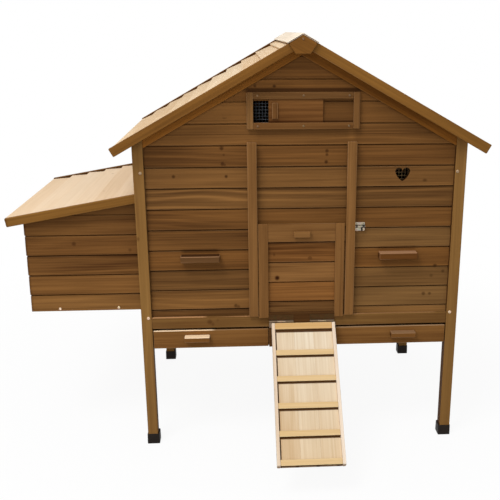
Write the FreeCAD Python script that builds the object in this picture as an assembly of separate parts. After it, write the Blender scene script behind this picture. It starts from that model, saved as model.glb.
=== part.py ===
import FreeCAD, Part
import math
import os

# A raised chicken coop: a boarded timber house on four posts under a gabled roof, with a lidded
# nest box on its left side, a lifting pop door, a sliding vent, two pull-out trays and a ramp.
# Sizes are millimetres. X runs to the right, Y to the back and Z up. The pieces are set out from
# the ground midway between the front faces of the front posts, and shifted at the end.

# Posts and feet
house_width = 1000.0        # over the outer faces of the posts
house_depth = 740.0         # over the outer faces of the posts
post_side = 35.0
foot_height = 35.0
foot_wall = 2.3
foot_base = 4.0
foot_clearance = 0.2

# Cladding boards, thick at the lower edge and thin at the upper edge
board_pitch = 64.0
board_thick = 12.0
board_thin = 8.0
board_recess = 12.0         # from the posts' faces back to the boards' thick edges

# Heights of the tray bay and the bottom rails
tray_underside = 336.0
tray_front_height = 57.0
tray_head_gap = 7.0
rail_height = 37.0
rail_recess = 2.0           # from the posts' faces back to the rails' faces
cladding_lap = 3.0          # boards reach this far below the rails

# Roof
wall_top_height = 1005.7    # roof line above the posts' outer faces
roof_pitch = 29.36          # degrees
eave_reach = 57.0           # past the posts, left and right
verge_reach = 46.0          # past the posts, front and back
barge_depth = 25.0
barge_thick = 12.0
roof_board_count = 10       # on each slope
deck_drop = 3.0             # boards' thick edges below the barge boards' top edges
deck_step = 7.0             # boards' thin edges below their thick edges
deck_underside = 18.0       # below the barge boards' top edges
rafter_depth = 32.0
ridge_cap_width = 49.0
ridge_cap_thick = 4.0
ridge_cap_overhang = 2.0    # past the finial plates
finial_half_width = 38.0
finial_shoulder = 8.0
finial_foot_half_width = 21.0
finial_height = 53.0
finial_thick = 10.0

# Pop door, its doorway and tracks
door_offset = 2.0           # right of the middle of the house
doorway_width = 230.0
doorway_courses = 5
door_head_depth = 24.0
track_gap = 271.0           # between the track covers
track_cover_width = 28.5
track_cover_thick = 10.0
track_lap = 9.0             # covers reach this far over the door's edges
track_top_over_course = 10.0  # above the board joint below the vent's
door_thick = 10.0
door_thin = 7.0
door_play = 0.5
door_side_play = 1.0
door_bottom_over_rail = 11.0
door_board_shift = 24.0     # door's board joints above the wall's board joints
door_frame_thick = 10.0
door_frame_side_gap = 2.0
door_frame_top_over_panel = 18.5
door_stile_width = 30.0
door_stile_drop = 16.0      # stiles reach this far below the door's boards
door_top_rail_depth = 57.0
door_pull_length = 52.0
door_pull_height = 18.0
door_pull_reach = 16.0
door_pull_drop = 22.0

# Barrel bolt beside the door
bolt_plate_side = 30.0
bolt_plate_thick = 1.5
bolt_plate_gap = 2.0
bolt_rod_radius = 3.0
bolt_rod_stand_off = 5.8    # rod's axis in front of the boards' thick edges
bolt_rod_over_door = 4.0    # rod's axis above the door's boards
bolt_rod_play = 1.5         # retracted tip clear of the door's edge
bolt_running_clearance = 0.05
bolt_staple_width = 6.0
bolt_staple_margin = 1.0
bolt_staple_half_height = 6.0
bolt_knob_radius = 2.5
bolt_knob_length = 12.0
bolt_slot_clearance = 1.0

# Wooden grips on the wall
grip_left_offset = 310.0           # middle of the left grip from the middle of the house
grip_right_offset = 303.0          # middle of the right grip from the middle of the house
grip_length = 120.0
grip_height = 21.0
grip_reach = 27.0
grip_low = 29.0             # above the board joint below it
grip_course = 3

# Vent in the front gable
vent_roof_gap = 5.0         # at least this far below the rafters
vent_offset = 6.0           # right of the middle of the house
vent_frame_width = 334.0
vent_frame_drop = 18.0      # frame's lower edge below its board joint
vent_frame_height = 107.0
vent_member = 19.0
vent_cover_thick = 6.0
vent_lap = 9.0
vent_panel_width = 161.0
vent_panel_left = 102.4     # panel's left edge from the vent's middle
vent_panel_play = 0.3
vent_opening_width = 149.0
vent_grip_width = 17.0
vent_grip_height = 47.0
vent_grip_inset = 10.0
mesh_pitch = 9.5
mesh_wire = 1.4
mesh_margin = 10.0

# Heart cut-out
heart_course = 7
heart_offset = 310.0
heart_width = 46.0
heart_height = 41.0
heart_low = 14.0            # heart's point above the board joint
heart_side_bow = 4.0        # its sides swell this far past a straight line
heart_mesh_margin = 6.0

# Nest box and its lid
nest_length = 346.0         # past the posts
nest_inset = 57.0           # from the posts' faces
nest_bottom = 450.0
nest_joint = 503.0          # height of one board joint
nest_floor_thick = 12.0
nest_divider_thick = 10.0
nest_divider_gap = 16.0     # under the lid at the end wall
nest_door_low_course = 2
nest_door_high_course = 5
nest_jamb = 40.0
lid_slope = 10.0            # degrees
lid_reach = 389.0           # past the posts
lid_gap = 1.0
lid_inset = 24.0            # from the posts' faces
lid_top_height = 828.2      # at the posts' outer faces
lid_board_count = 6
hinge_rail_height = 38.0
hinge_rail_lift = 4.0       # above the nest box's walls
hinge_rail_play = 1.0

# Butt hinges, the same on the lid and on the ramp
hinge_length = 76.0
hinge_leaf_width = 21.0
hinge_leaf_thick = 1.5
hinge_barrel_radius = 3.2
hinge_pin_radius = 1.5
hinge_running_clearance = 0.05
hinge_stand_off = 0.5       # barrel clear of the face that carries it
hinge_joint_gap = 0.3
lid_hinge_setback = 240.0
ramp_hinge_spacing = 128.0

# Apron under the doorway and the fixed strip of floor behind it
apron_width = 206.0
apron_reach = 10.0          # in front of the posts' faces
apron_top_gap = 2.0
partition_thick = 12.0
centre_floor_thick = 12.0
runner_depth = 18.0
runner_width = 30.0
runner_setback = 50.0

# Trays
tray_side_play = 2.0
tray_centre_play = 4.0
tray_wall = 10.0
tray_floor = 6.0
tray_wall_height = 50.0
tray_back_play = 2.0
tray_front_thick = 10.0
tray_handle_spacing = 655.0
tray_handle_length = 80.0
tray_handle_height = 17.0
tray_handle_reach = 27.0
tray_handle_low = 25.0

# Perches
perch_width = 36.0
perch_height = 28.0
perch_rounding = 8.0
perch_underside = 560.0
perch_end_play = 2.0
perch_first_offset = 210.0         # right of the middle of the house
perch_second_offset = 360.0
perch_bearer_depth = 20.0
perch_bearer_height = 30.0

# Ramp
ramp_slope = 43.0           # degrees below level
ramp_offset = 5.0           # ramp's middle right of the door's middle
ramp_width = 200.0
ramp_length = 462.0
ramp_pivot_height = 422.0
ramp_head_play = 0.3
ramp_head_start = 3.8       # from the pin's axis along the ramp
ramp_rail_width = 10.0
ramp_rail_depth = 24.0
ramp_deck_drop = 9.0        # deck below the rails' top edges
ramp_deck_thick = 12.0
ramp_deck_boards = 3
ramp_cleat_drop = 2.0
ramp_cleat_width = 18.0
ramp_head_cleat_width = 22.0
ramp_cleat_spacing = 86.5
ramp_cleat_count = 5
ramp_last_cleat = 10.0      # middle of the last cleat from the ramp's end

# Screw heads
screw_head_radius = 4.0
screw_head_height = 2.2
post_screw_inset = 22.0
post_screw_low = 437.0
post_screw_high = 894.0
vent_screw_spacing = 135.0
nest_screw_rise = 7.0
nest_screw_outer = 260.0    # past the posts
nest_screw_inner = 76.0
finial_screw_drop = 12.0

# Heights and planes that follow from the sizes
half_width = house_width / 2
inner_half = half_width - post_side
inner_back = house_depth - post_side
rail_bottom = tray_underside + tray_front_height + tray_head_gap
rail_top = rail_bottom + rail_height
wall_base = rail_bottom - cladding_lap
wall_back = board_recess + board_thick
tan_roof = math.tan(math.radians(roof_pitch))
sin_roof = math.sin(math.radians(roof_pitch))
cos_roof = math.cos(math.radians(roof_pitch))
eave_x = half_width + eave_reach
ridge_z = wall_top_height + tan_roof * half_width
eave_z = wall_top_height - tan_roof * eave_reach
tan_lid = math.tan(math.radians(lid_slope))
sin_lid = math.sin(math.radians(lid_slope))
cos_lid = math.cos(math.radians(lid_slope))
lid_tip_x = half_width + lid_reach
lid_tip_z = lid_top_height - tan_lid * lid_reach
sin_ramp = math.sin(math.radians(ramp_slope))
cos_ramp = math.cos(math.radians(ramp_slope))


def box(x0, x1, y0, y1, z0, z1):
    return Part.makeBox(x1 - x0, y1 - y0, z1 - z0, FreeCAD.Vector(x0, y0, z0))


def prism(points, run):
    """A flat outline of points, swept along the vector run."""
    corners = [FreeCAD.Vector(*p) for p in points]
    return Part.Face(Part.makePolygon(corners + corners[:1])).extrude(FreeCAD.Vector(*run))


def rod(start, direction, radius, length):
    return Part.makeCylinder(radius, length, FreeCAD.Vector(*start), FreeCAD.Vector(*direction))


def course(number):
    """Height of the lower edge of a course of wall boards, counted from 0."""
    return wall_base + number * board_pitch


def roof_line(x, below):
    """Height of the plane that lies this far below the roof line, measured square to the slope."""
    return ridge_z - tan_roof * abs(x) - below / cos_roof


def lid_line(x, below):
    """Height of the plane that lies this far below the lid's top line, square to its slope."""
    return lid_top_height + tan_lid * (x + half_width) - below / cos_lid


def board_depth(z, joint):
    """Thickness at height z of a board whose lower edge is at the joint's height."""
    return board_thick - (board_thick - board_thin) * (z - joint) / board_pitch


def board(axis, plane, outward, start, end, low, high, joint):
    """One bevelled board, flat against the plane behind it, running along axis x or y."""
    section = [
        (plane, low),
        (plane + outward * board_depth(low, joint), low),
        (plane + outward * board_depth(high, joint), high),
        (plane, high),
    ]
    if axis == "x":
        return prism([(start, n, z) for n, z in section], (end - start, 0, 0))
    return prism([(n, start, z) for n, z in section], (0, end - start, 0))


def boards(axis, plane, outward, start, end, low, high, joint):
    """The boards that cover a wall from low to high, with joints a pitch apart."""
    first = math.floor((low - joint) / board_pitch + 1e-6)
    last = math.ceil((high - joint) / board_pitch - 1e-6)
    made = []
    for number in range(first, last):
        edge = joint + number * board_pitch
        top = min(high, edge + board_pitch)
        made.append(board(axis, plane, outward, start, end, max(low, edge), top, edge))
    return made


def under(space, shapes):
    """The parts of the shapes that lie inside a space, such as the space below the roof."""
    cut = [shape.common(space) for shape in shapes]
    return [solid for shape in cut for solid in shape.Solids]


nodes = {}

# Space below the roof boards, to which posts and walls are cut
roof_space = prism(
    [
        (-eave_x, -verge_reach, 0),
        (eave_x, -verge_reach, 0),
        (eave_x, -verge_reach, roof_line(eave_x, deck_underside)),
        (0, -verge_reach, roof_line(0, deck_underside)),
        (-eave_x, -verge_reach, roof_line(eave_x, deck_underside)),
    ],
    (0, house_depth + 2 * verge_reach, 0),
)

# Corner posts, cut to the roof's slope at the top, each standing in a plastic foot cap
foot_caps = []
for side, x in (("left", -half_width), ("right", inner_half)):
    for end, y in (("front", 0), ("back", inner_back)):
        post = box(x, x + post_side, y, y + post_side, foot_base, ridge_z)
        nodes[end + "_" + side + "_post"] = under(roof_space, [post])
        socket = foot_clearance
        shell = foot_clearance + foot_wall
        cup = box(x - shell, x + post_side + shell, y - shell, y + post_side + shell, 0, foot_height)
        hole = box(x - socket, x + post_side + socket, y - socket, y + post_side + socket,
                   foot_base, foot_height)
        foot_caps.append(cup.cut(hole))
nodes["foot_caps"] = foot_caps

# Bottom rails between the posts, in front of the lowest boards
rail_thick = board_recess - rail_recess
side_rail = half_width - board_recess
nodes["bottom_rails"] = [
    box(-inner_half, inner_half, rail_recess, board_recess, rail_bottom, rail_top),
    box(-inner_half, inner_half, house_depth - board_recess, house_depth - rail_recess,
        rail_bottom, rail_top),
    box(-side_rail - rail_thick, -side_rail, post_side, inner_back, rail_bottom, rail_top),
    box(side_rail, side_rail + rail_thick, post_side, inner_back, rail_bottom, rail_top),
]

# Front wall, with the doorway in its lower courses and the vent's opening in its gable
door_left = door_offset - doorway_width / 2
door_right = door_offset + doorway_width / 2
doorway_top = course(doorway_courses)
vent_left = vent_offset - vent_frame_width / 2 + vent_member
vent_right = vent_left + vent_opening_width
vent_edge_line = roof_line(vent_offset + vent_frame_width / 2, deck_underside + rafter_depth)
vent_room = vent_edge_line - vent_roof_gap - vent_frame_height + vent_frame_drop - wall_base
vent_course = math.floor(vent_room / board_pitch)
front = ("x", wall_back, -1)
nodes["front_wall_left_boards"] = boards(
    *front, -inner_half, door_left, wall_base, doorway_top, wall_base)
nodes["front_wall_right_boards"] = boards(
    *front, door_right, inner_half, wall_base, doorway_top, wall_base)
upper = boards(*front, -inner_half, inner_half, doorway_top, course(heart_course), wall_base)
upper += boards(*front, -inner_half, inner_half, course(heart_course + 1), course(vent_course), wall_base)
upper += boards(*front, -inner_half, vent_left, course(vent_course), course(vent_course + 1), wall_base)
upper += boards(*front, vent_right, inner_half, course(vent_course), course(vent_course + 1), wall_base)
upper += boards(*front, -inner_half, inner_half, course(vent_course + 1), ridge_z, wall_base)
nodes["front_wall_upper_boards"] = under(roof_space, upper)
nodes["doorway_liners"] = [
    box(door_left, door_right, board_recess, wall_back, wall_base, rail_top),
    box(door_left, door_right, board_recess, wall_back, doorway_top - door_head_depth, doorway_top),
]

# Board with the heart cut-out: two round lobes and two bowed sides that meet in a point
heart_point = course(heart_course) + heart_low
lobe = heart_width / 4
lobe_z = heart_point + heart_height - lobe
lobe_rise = lobe_z - heart_point
heart_side = math.hypot(heart_width / 2, lobe_rise)
bow_x = heart_width / 4 + heart_side_bow * lobe_rise / heart_side
bow_z = heart_point + lobe_rise / 2 - heart_side_bow * heart_width / 2 / heart_side
heart_edges = []
for hand in (-1, 1):
    heart_edges.append(Part.Arc(
        FreeCAD.Vector(heart_offset, 0, heart_point),
        FreeCAD.Vector(heart_offset + hand * bow_x, 0, bow_z),
        FreeCAD.Vector(heart_offset + hand * heart_width / 2, 0, lobe_z)).toShape())
for lobe_x in (lobe, -lobe):
    heart_edges.append(Part.Arc(
        FreeCAD.Vector(heart_offset + lobe_x + lobe, 0, lobe_z),
        FreeCAD.Vector(heart_offset + lobe_x, 0, lobe_z + lobe),
        FreeCAD.Vector(heart_offset + lobe_x - lobe, 0, lobe_z)).toShape())
heart_hole = Part.Face(Part.Wire(heart_edges)).extrude(FreeCAD.Vector(0, wall_back, 0))
heart_board = boards(*front, -inner_half, inner_half, course(heart_course),
                     course(heart_course + 1), wall_base)[0]
nodes["heart_board"] = [heart_board.cut(heart_hole)]

# Back and side walls; the left wall is open to the nest box
back = ("x", house_depth - wall_back, 1)
left = ("y", wall_back - half_width, -1)
right = ("y", half_width - wall_back, 1)
nodes["back_wall_boards"] = under(roof_space, boards(
    *back, -inner_half, inner_half, wall_base, ridge_z, wall_base))
nodes["right_wall_boards"] = under(roof_space, boards(
    *right, post_side, inner_back, wall_base, wall_top_height, wall_base))
nest_door_low = course(nest_door_low_course)
nest_door_high = course(nest_door_high_course)
left_boards = boards(*left, post_side, inner_back, wall_base, nest_door_low, wall_base)
left_boards += boards(*left, post_side, post_side + nest_jamb, nest_door_low, nest_door_high, wall_base)
left_boards += boards(*left, inner_back - nest_jamb, inner_back, nest_door_low, nest_door_high, wall_base)
left_boards += boards(*left, post_side, inner_back, nest_door_high, wall_top_height, wall_base)
nodes["left_wall_boards"] = under(roof_space, left_boards)

# Rafters under the roof boards at the front and back gables
rafters = []
for y in (0, house_depth - board_recess):
    for x in (-inner_half, inner_half):
        low = deck_underside + rafter_depth
        rafters.append(prism(
            [
                (x, y, roof_line(x, deck_underside)),
                (0, y, roof_line(0, deck_underside)),
                (0, y, roof_line(0, low)),
                (x, y, roof_line(x, low)),
            ],
            (0, board_recess, 0),
        ))
nodes["gable_rafters"] = rafters


def slope_point(side, along, below, y):
    """A point on one roof slope: along it from the eave's tip, and below the roof line."""
    x = eave_x - along * cos_roof - below * sin_roof
    return (side * x, y, eave_z + along * sin_roof - below * cos_roof)


# Roof boards, lapped up each slope, between barge boards at the front and back
ridge_gap = deck_underside * tan_roof
deck_pitch = (eave_x / cos_roof - ridge_gap) / roof_board_count
deck_start = barge_thick - verge_reach
deck_length = house_depth - 2 * deck_start
barges = []
for name, side in (("left_roof_boards", -1), ("right_roof_boards", 1)):
    deck = []
    for number in range(roof_board_count):
        low = number * deck_pitch
        high = low + deck_pitch
        outline = [
            slope_point(side, low, deck_drop, deck_start),
            slope_point(side, high, deck_drop + deck_step, deck_start),
            slope_point(side, high, deck_underside, deck_start),
            slope_point(side, low, deck_underside, deck_start),
        ]
        deck.append(prism(outline, (0, deck_length, 0)))
    nodes[name] = deck
    for y in (-verge_reach, house_depth + verge_reach - barge_thick):
        outline = [
            slope_point(side, 0, 0, y),
            (0, y, ridge_z),
            (0, y, roof_line(0, barge_depth)),
            slope_point(side, 0, barge_depth, y),
        ]
        barges.append(prism(outline, (0, barge_thick, 0)))
nodes["barge_boards"] = barges

# Ridge cap of two thin boards, and the finial plates that close it at the front and back
cap_start = -verge_reach - finial_thick - ridge_cap_overhang
cap_length = house_depth - 2 * cap_start
cap_x = ridge_cap_width * cos_roof
cap_lift_x = ridge_cap_thick * sin_roof
cap_lift_z = ridge_cap_thick * cos_roof
cap_boards = []
for side in (-1, 1):
    outline = [
        (0, cap_start, ridge_z),
        (side * cap_x, cap_start, roof_line(cap_x, 0)),
        (side * (cap_x + cap_lift_x), cap_start, roof_line(cap_x, 0) + cap_lift_z),
        (0, cap_start, roof_line(0, -ridge_cap_thick)),
    ]
    cap_boards.append(prism(outline, (0, cap_length, 0)))
nodes["ridge_cap"] = cap_boards
finials = []
for y in (-verge_reach - finial_thick, house_depth + verge_reach):
    shoulder_z = roof_line(finial_half_width, 0)
    outline = [
        (0, y, ridge_z),
        (finial_half_width, y, shoulder_z),
        (finial_half_width, y, shoulder_z - finial_shoulder),
        (finial_foot_half_width, y, ridge_z - finial_height),
        (-finial_foot_half_width, y, ridge_z - finial_height),
        (-finial_half_width, y, shoulder_z - finial_shoulder),
        (-finial_half_width, y, shoulder_z),
    ]
    finials.append(prism(outline, (0, finial_thick, 0)))
nodes["gable_finials"] = finials

# Door tracks: spacers on the wall with wider covers over them, parted for the bolt on the right
door_panel_bottom = rail_top + door_bottom_over_rail
door_panel_top = doorway_top
door_top = door_panel_top + door_frame_top_over_panel
track_top = course(vent_course - 1) + track_top_over_course
cover_in = track_gap / 2
cover_out = cover_in + track_cover_width
spacer_in = cover_in + track_lap
bolt_z = door_panel_top + bolt_rod_over_door
slot_half = bolt_rod_radius + bolt_slot_clearance
nodes["door_tracks"] = [
    box(door_offset - cover_out, door_offset - spacer_in, 0, board_recess, rail_top, track_top),
    box(door_offset + spacer_in, door_offset + cover_out, 0, board_recess, rail_top, bolt_z - slot_half),
    box(door_offset + spacer_in, door_offset + cover_out, 0, board_recess, bolt_z + slot_half, track_top),
    box(door_offset - cover_out, door_offset - cover_in, -track_cover_thick, 0, rail_top, track_top),
    box(door_offset + cover_in, door_offset + cover_out, -track_cover_thick, 0, rail_top, track_top),
]

# Pop door: boards that run in the tracks, a frame of two stiles and a top rail, and a pull
panel_half = spacer_in - door_side_play
panel_back = board_recess - door_play
panel_front = panel_back - door_thick
door_joint = wall_base + door_board_shift
first_joint = math.ceil((door_panel_bottom - door_joint) / board_pitch)
last_joint = math.floor((door_panel_top - door_joint) / board_pitch)
cuts = [door_panel_bottom]
cuts += [door_joint + k * board_pitch for k in range(first_joint, last_joint + 1)]
cuts.append(door_panel_top)
door_boards = []
for low, high in zip(cuts, cuts[1:]):
    outline = [
        (door_offset - panel_half, panel_back, low),
        (door_offset - panel_half, panel_front, low),
        (door_offset - panel_half, panel_back - door_thin, high),
        (door_offset - panel_half, panel_back, high),
    ]
    door_boards.append(prism(outline, (2 * panel_half, 0, 0)))
nodes["door_boards"] = door_boards
frame_out = cover_in - door_frame_side_gap
frame_in = frame_out - door_stile_width
frame_front = panel_front - door_frame_thick
stile_bottom = door_panel_bottom - door_stile_drop
nodes["door_frame"] = [
    box(door_offset - frame_out, door_offset - frame_in, frame_front, panel_front, stile_bottom, door_top),
    box(door_offset + frame_in, door_offset + frame_out, frame_front, panel_front, stile_bottom, door_top),
    box(door_offset - frame_in, door_offset + frame_in, frame_front, panel_front,
        door_top - door_top_rail_depth, door_top),
]
pull_top = door_top - door_pull_drop
nodes["door_pull"] = [box(
    door_offset - door_pull_length / 2, door_offset + door_pull_length / 2,
    frame_front - door_pull_reach, frame_front, pull_top - door_pull_height, pull_top)]

# Barrel bolt: a plate with two staples, and the rod that they guide, with a knob hanging from it
bolt_y = board_recess - bolt_rod_stand_off
plate_left = door_offset + cover_out + bolt_plate_gap
plate_right = plate_left + bolt_plate_side
plate_front = board_recess - bolt_plate_thick
plate = box(plate_left, plate_right, plate_front, board_recess,
            bolt_z - bolt_plate_side / 2, bolt_z + bolt_plate_side / 2)
staple_starts = [
    plate_left + bolt_staple_margin,
    plate_right - bolt_staple_margin - bolt_staple_width,
]
staple_front = bolt_y - bolt_rod_radius - bolt_plate_thick
for x in staple_starts:
    plate = plate.fuse(box(x, x + bolt_staple_width, staple_front, plate_front,
                           bolt_z - bolt_staple_half_height, bolt_z + bolt_staple_half_height))
bolt_hole = rod((plate_left, bolt_y, bolt_z), (1, 0, 0), bolt_rod_radius + bolt_running_clearance,
                bolt_plate_side)
nodes["bolt_plate"] = [plate.cut(bolt_hole).removeSplitter()]
rod_tip = door_offset + panel_half + bolt_rod_play
bolt_shaft = rod((rod_tip, bolt_y, bolt_z), (1, 0, 0), bolt_rod_radius,
                 plate_right + bolt_staple_margin - rod_tip)
knob_x = staple_starts[1] - bolt_knob_radius - bolt_running_clearance
bolt_knob = rod((knob_x, bolt_y, bolt_z), (0, 0, -1), bolt_knob_radius, bolt_knob_length)
nodes["bolt_rod"] = [bolt_shaft.fuse(bolt_knob).removeSplitter()]
bolt_travel = knob_x - bolt_knob_radius - bolt_running_clearance - staple_starts[0] - bolt_staple_width

# Wooden grips on the wall, left and right of the door, seated on the bevelled board
grip_z = course(grip_course) + grip_low
grips = []
for x in (-grip_left_offset, grip_right_offset):
    start = x - grip_length / 2
    seats = [wall_back - board_depth(z, course(grip_course)) for z in (grip_z, grip_z + grip_height)]
    outline = [
        (start, board_recess - grip_reach, grip_z),
        (start, seats[0], grip_z),
        (start, seats[1], grip_z + grip_height),
        (start, board_recess - grip_reach, grip_z + grip_height),
    ]
    grips.append(prism(outline, (grip_length, 0, 0)))
nodes["wall_grips"] = grips

# Vent frame: spacers on the wall with wider covers, so that the panel slides behind the covers
vent_low = course(vent_course) - vent_frame_drop
vent_high = vent_low + vent_frame_height
vent_out = vent_frame_width / 2
vent_in = vent_out - vent_member
spacer = vent_member - vent_lap
vent_pieces = []
for y0, y1, rail in ((0, vent_cover_thick, vent_member), (vent_cover_thick, board_recess, spacer)):
    vent_pieces.append(box(vent_offset - vent_out, vent_offset - vent_in, y0, y1, vent_low, vent_high))
    vent_pieces.append(box(vent_offset + vent_in, vent_offset + vent_out, y0, y1, vent_low, vent_high))
    vent_pieces.append(box(vent_offset - vent_in, vent_offset + vent_in, y0, y1, vent_low, vent_low + rail))
    vent_pieces.append(box(
        vent_offset - vent_in, vent_offset + vent_in, y0, y1, vent_high - rail, vent_high))
nodes["vent_frame"] = vent_pieces

# Vent panel and the strip on it that serves as a grip
panel_x = vent_offset - vent_panel_left
panel_low = vent_low + spacer + vent_panel_play
panel_high = vent_high - spacer - vent_panel_play
nodes["vent_panel"] = [box(
    panel_x, panel_x + vent_panel_width, vent_cover_thick + vent_panel_play, board_recess - vent_panel_play,
    panel_low, panel_high)]
vent_mid = (vent_low + vent_high) / 2
nodes["vent_panel_grip"] = [box(
    panel_x + vent_grip_inset, panel_x + vent_grip_inset + vent_grip_width,
    0, vent_cover_thick + vent_panel_play,
    vent_mid - vent_grip_height / 2, vent_mid + vent_grip_height / 2)]


def mesh_sheet(x0, x1, z0, z1):
    """Welded wire mesh as one flat sheet with a hole for each gap, fixed behind the front boards."""
    columns = max(1, round((x1 - x0 - mesh_wire) / mesh_pitch))
    rows = max(1, round((z1 - z0 - mesh_wire) / mesh_pitch))
    step_x = (x1 - x0 - mesh_wire) / columns
    step_z = (z1 - z0 - mesh_wire) / rows

    def ring(a, b, low, high):
        corners = [(a, low), (b, low), (b, high), (a, high), (a, low)]
        return Part.makePolygon([FreeCAD.Vector(x, wall_back, z) for x, z in corners])

    wires = [ring(x0, x1, z0, z1)]
    for i in range(columns):
        for k in range(rows):
            a = x0 + mesh_wire + i * step_x
            low = z0 + mesh_wire + k * step_z
            wires.append(ring(a, a + step_x - mesh_wire, low, low + step_z - mesh_wire))
    sheet = Part.makeFace(wires, "Part::FaceMakerBullseye")
    return sheet.extrude(FreeCAD.Vector(0, mesh_wire, 0))


# Wire mesh behind the vent's opening and behind the heart
nodes["wire_meshes"] = [
    mesh_sheet(vent_left - mesh_margin, vent_right + mesh_margin,
               course(vent_course) - mesh_margin, course(vent_course + 1) + mesh_margin),
    mesh_sheet(heart_offset - heart_width / 2 - heart_mesh_margin,
               heart_offset + heart_width / 2 + heart_mesh_margin,
               heart_point - heart_mesh_margin, heart_point + heart_height + heart_mesh_margin),
]

# Nest box: walls cut to the lid's slope, a floor and a divider between its two nests
nest_end = half_width + nest_length
nest_root = half_width - board_recess
nest_back = house_depth - nest_inset
lid_space = prism(
    [
        (-lid_tip_x, 0, 0),
        (-nest_root, 0, 0),
        (-nest_root, 0, lid_line(-nest_root, deck_underside)),
        (-lid_tip_x, 0, lid_line(-lid_tip_x, deck_underside)),
    ],
    (0, house_depth, 0),
)
nest_sides = boards("x", nest_inset + board_thick, -1, -nest_end, -nest_root,
                    nest_bottom, lid_top_height, nest_joint)
nest_sides += boards("x", nest_back - board_thick, 1, -nest_end, -nest_root,
                     nest_bottom, lid_top_height, nest_joint)
nodes["nest_side_boards"] = under(lid_space, nest_sides)
nest_front = nest_inset + board_thick
nest_rear = nest_back - board_thick
nodes["nest_end_boards"] = under(lid_space, boards(
    "y", board_thick - nest_end, -1, nest_front, nest_rear, nest_bottom, lid_top_height, nest_joint))
nest_inside = board_thick - nest_end
nodes["nest_floor"] = [box(
    nest_inside, -nest_root, nest_front, nest_rear, nest_bottom, nest_bottom + nest_floor_thick)]
nest_middle = house_depth / 2
nest_divider_top = lid_line(nest_inside, deck_underside) - nest_divider_gap
nodes["nest_divider"] = [box(
    nest_inside, -nest_root, nest_middle - nest_divider_thick / 2, nest_middle + nest_divider_thick / 2,
    nest_bottom + nest_floor_thick, nest_divider_top)]
hinge_rail_low = lid_line(-nest_root, deck_underside) + hinge_rail_lift
nodes["nest_hinge_rail"] = [box(
    -half_width, -nest_root, post_side + hinge_rail_play, inner_back - hinge_rail_play,
    hinge_rail_low, hinge_rail_low + hinge_rail_height)]


def lid_point(along, below, y):
    """A point on the lid: along it from its outer tip, and below its top line."""
    x = lid_tip_x - along * cos_lid - below * sin_lid
    return (-x, y, lid_tip_z + along * sin_lid - below * cos_lid)


def lid_end(below):
    """How far along the lid its plumb upper end lies at this depth below the top line."""
    return (lid_reach - lid_gap - below * sin_lid) / cos_lid


# Lid of lapped boards between two rims; the board at the hinges is flat on top
lid_pitch = lid_end(0) / lid_board_count
lid_deck_start = lid_inset + barge_thick
lid_boards = []
for number in range(lid_board_count):
    low = number * lid_pitch
    high = low + lid_pitch
    step = 0 if number == lid_board_count - 1 else deck_step
    outline = [
        lid_point(low, deck_drop, lid_deck_start),
        lid_point(min(high, lid_end(deck_drop + step)), deck_drop + step, lid_deck_start),
        lid_point(min(high, lid_end(deck_underside)), deck_underside, lid_deck_start),
        lid_point(low, deck_underside, lid_deck_start),
    ]
    lid_boards.append(prism(outline, (0, house_depth - 2 * lid_deck_start, 0)))
nodes["lid_boards"] = lid_boards
lid_rims = []
for y in (lid_inset, house_depth - lid_inset - barge_thick):
    corners = ((0, 0), (lid_end(0), 0), (lid_end(barge_depth), barge_depth), (0, barge_depth))
    outline = [lid_point(along, below, y) for along, below in corners]
    lid_rims.append(prism(outline, (0, barge_thick, 0)))
nodes["lid_rims"] = lid_rims

# Apron under the doorway, and the fixed strip of floor on two partitions behind it
tray_bay_back = house_depth - wall_back
tray_bay_low = tray_underside - runner_depth
apron_left = door_offset - apron_width / 2
apron_right = door_offset + apron_width / 2
apron_top = door_panel_bottom - apron_top_gap
nodes["centre_apron"] = [box(
    apron_left, apron_right, -apron_reach, rail_recess, tray_underside, apron_top)]
centre_floor_top = tray_underside + tray_front_height
partition_top = centre_floor_top - centre_floor_thick
nodes["centre_partitions"] = [
    box(apron_left, apron_left + partition_thick, rail_recess, tray_bay_back,
        tray_underside, partition_top),
    box(apron_right - partition_thick, apron_right, rail_recess, tray_bay_back,
        tray_underside, partition_top),
]
nodes["centre_floor_board"] = [box(
    apron_left, apron_right, rail_recess, tray_bay_back, partition_top, centre_floor_top)]

# Boards that close the tray bay at the sides and back, and the runners that the trays slide on
bay_side = half_width - wall_back
nodes["tray_bay_boards"] = [
    box(-bay_side - board_thick, -bay_side, post_side, inner_back, tray_bay_low, wall_base),
    box(bay_side, bay_side + board_thick, post_side, inner_back, tray_bay_low, wall_base),
    box(-inner_half, inner_half, tray_bay_back, tray_bay_back + board_thick, tray_bay_low, wall_base),
]
runner_in = runner_width + partition_thick
nodes["tray_runners"] = [
    box(-bay_side, -bay_side + runner_width, runner_setback, inner_back, tray_bay_low, tray_underside),
    box(apron_left + partition_thick - runner_in, apron_left + partition_thick, runner_setback,
        tray_bay_back, tray_bay_low, tray_underside),
    box(apron_right - partition_thick, apron_right - partition_thick + runner_in, runner_setback,
        tray_bay_back, tray_bay_low, tray_underside),
    box(bay_side - runner_width, bay_side, runner_setback, inner_back, tray_bay_low, tray_underside),
]

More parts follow.
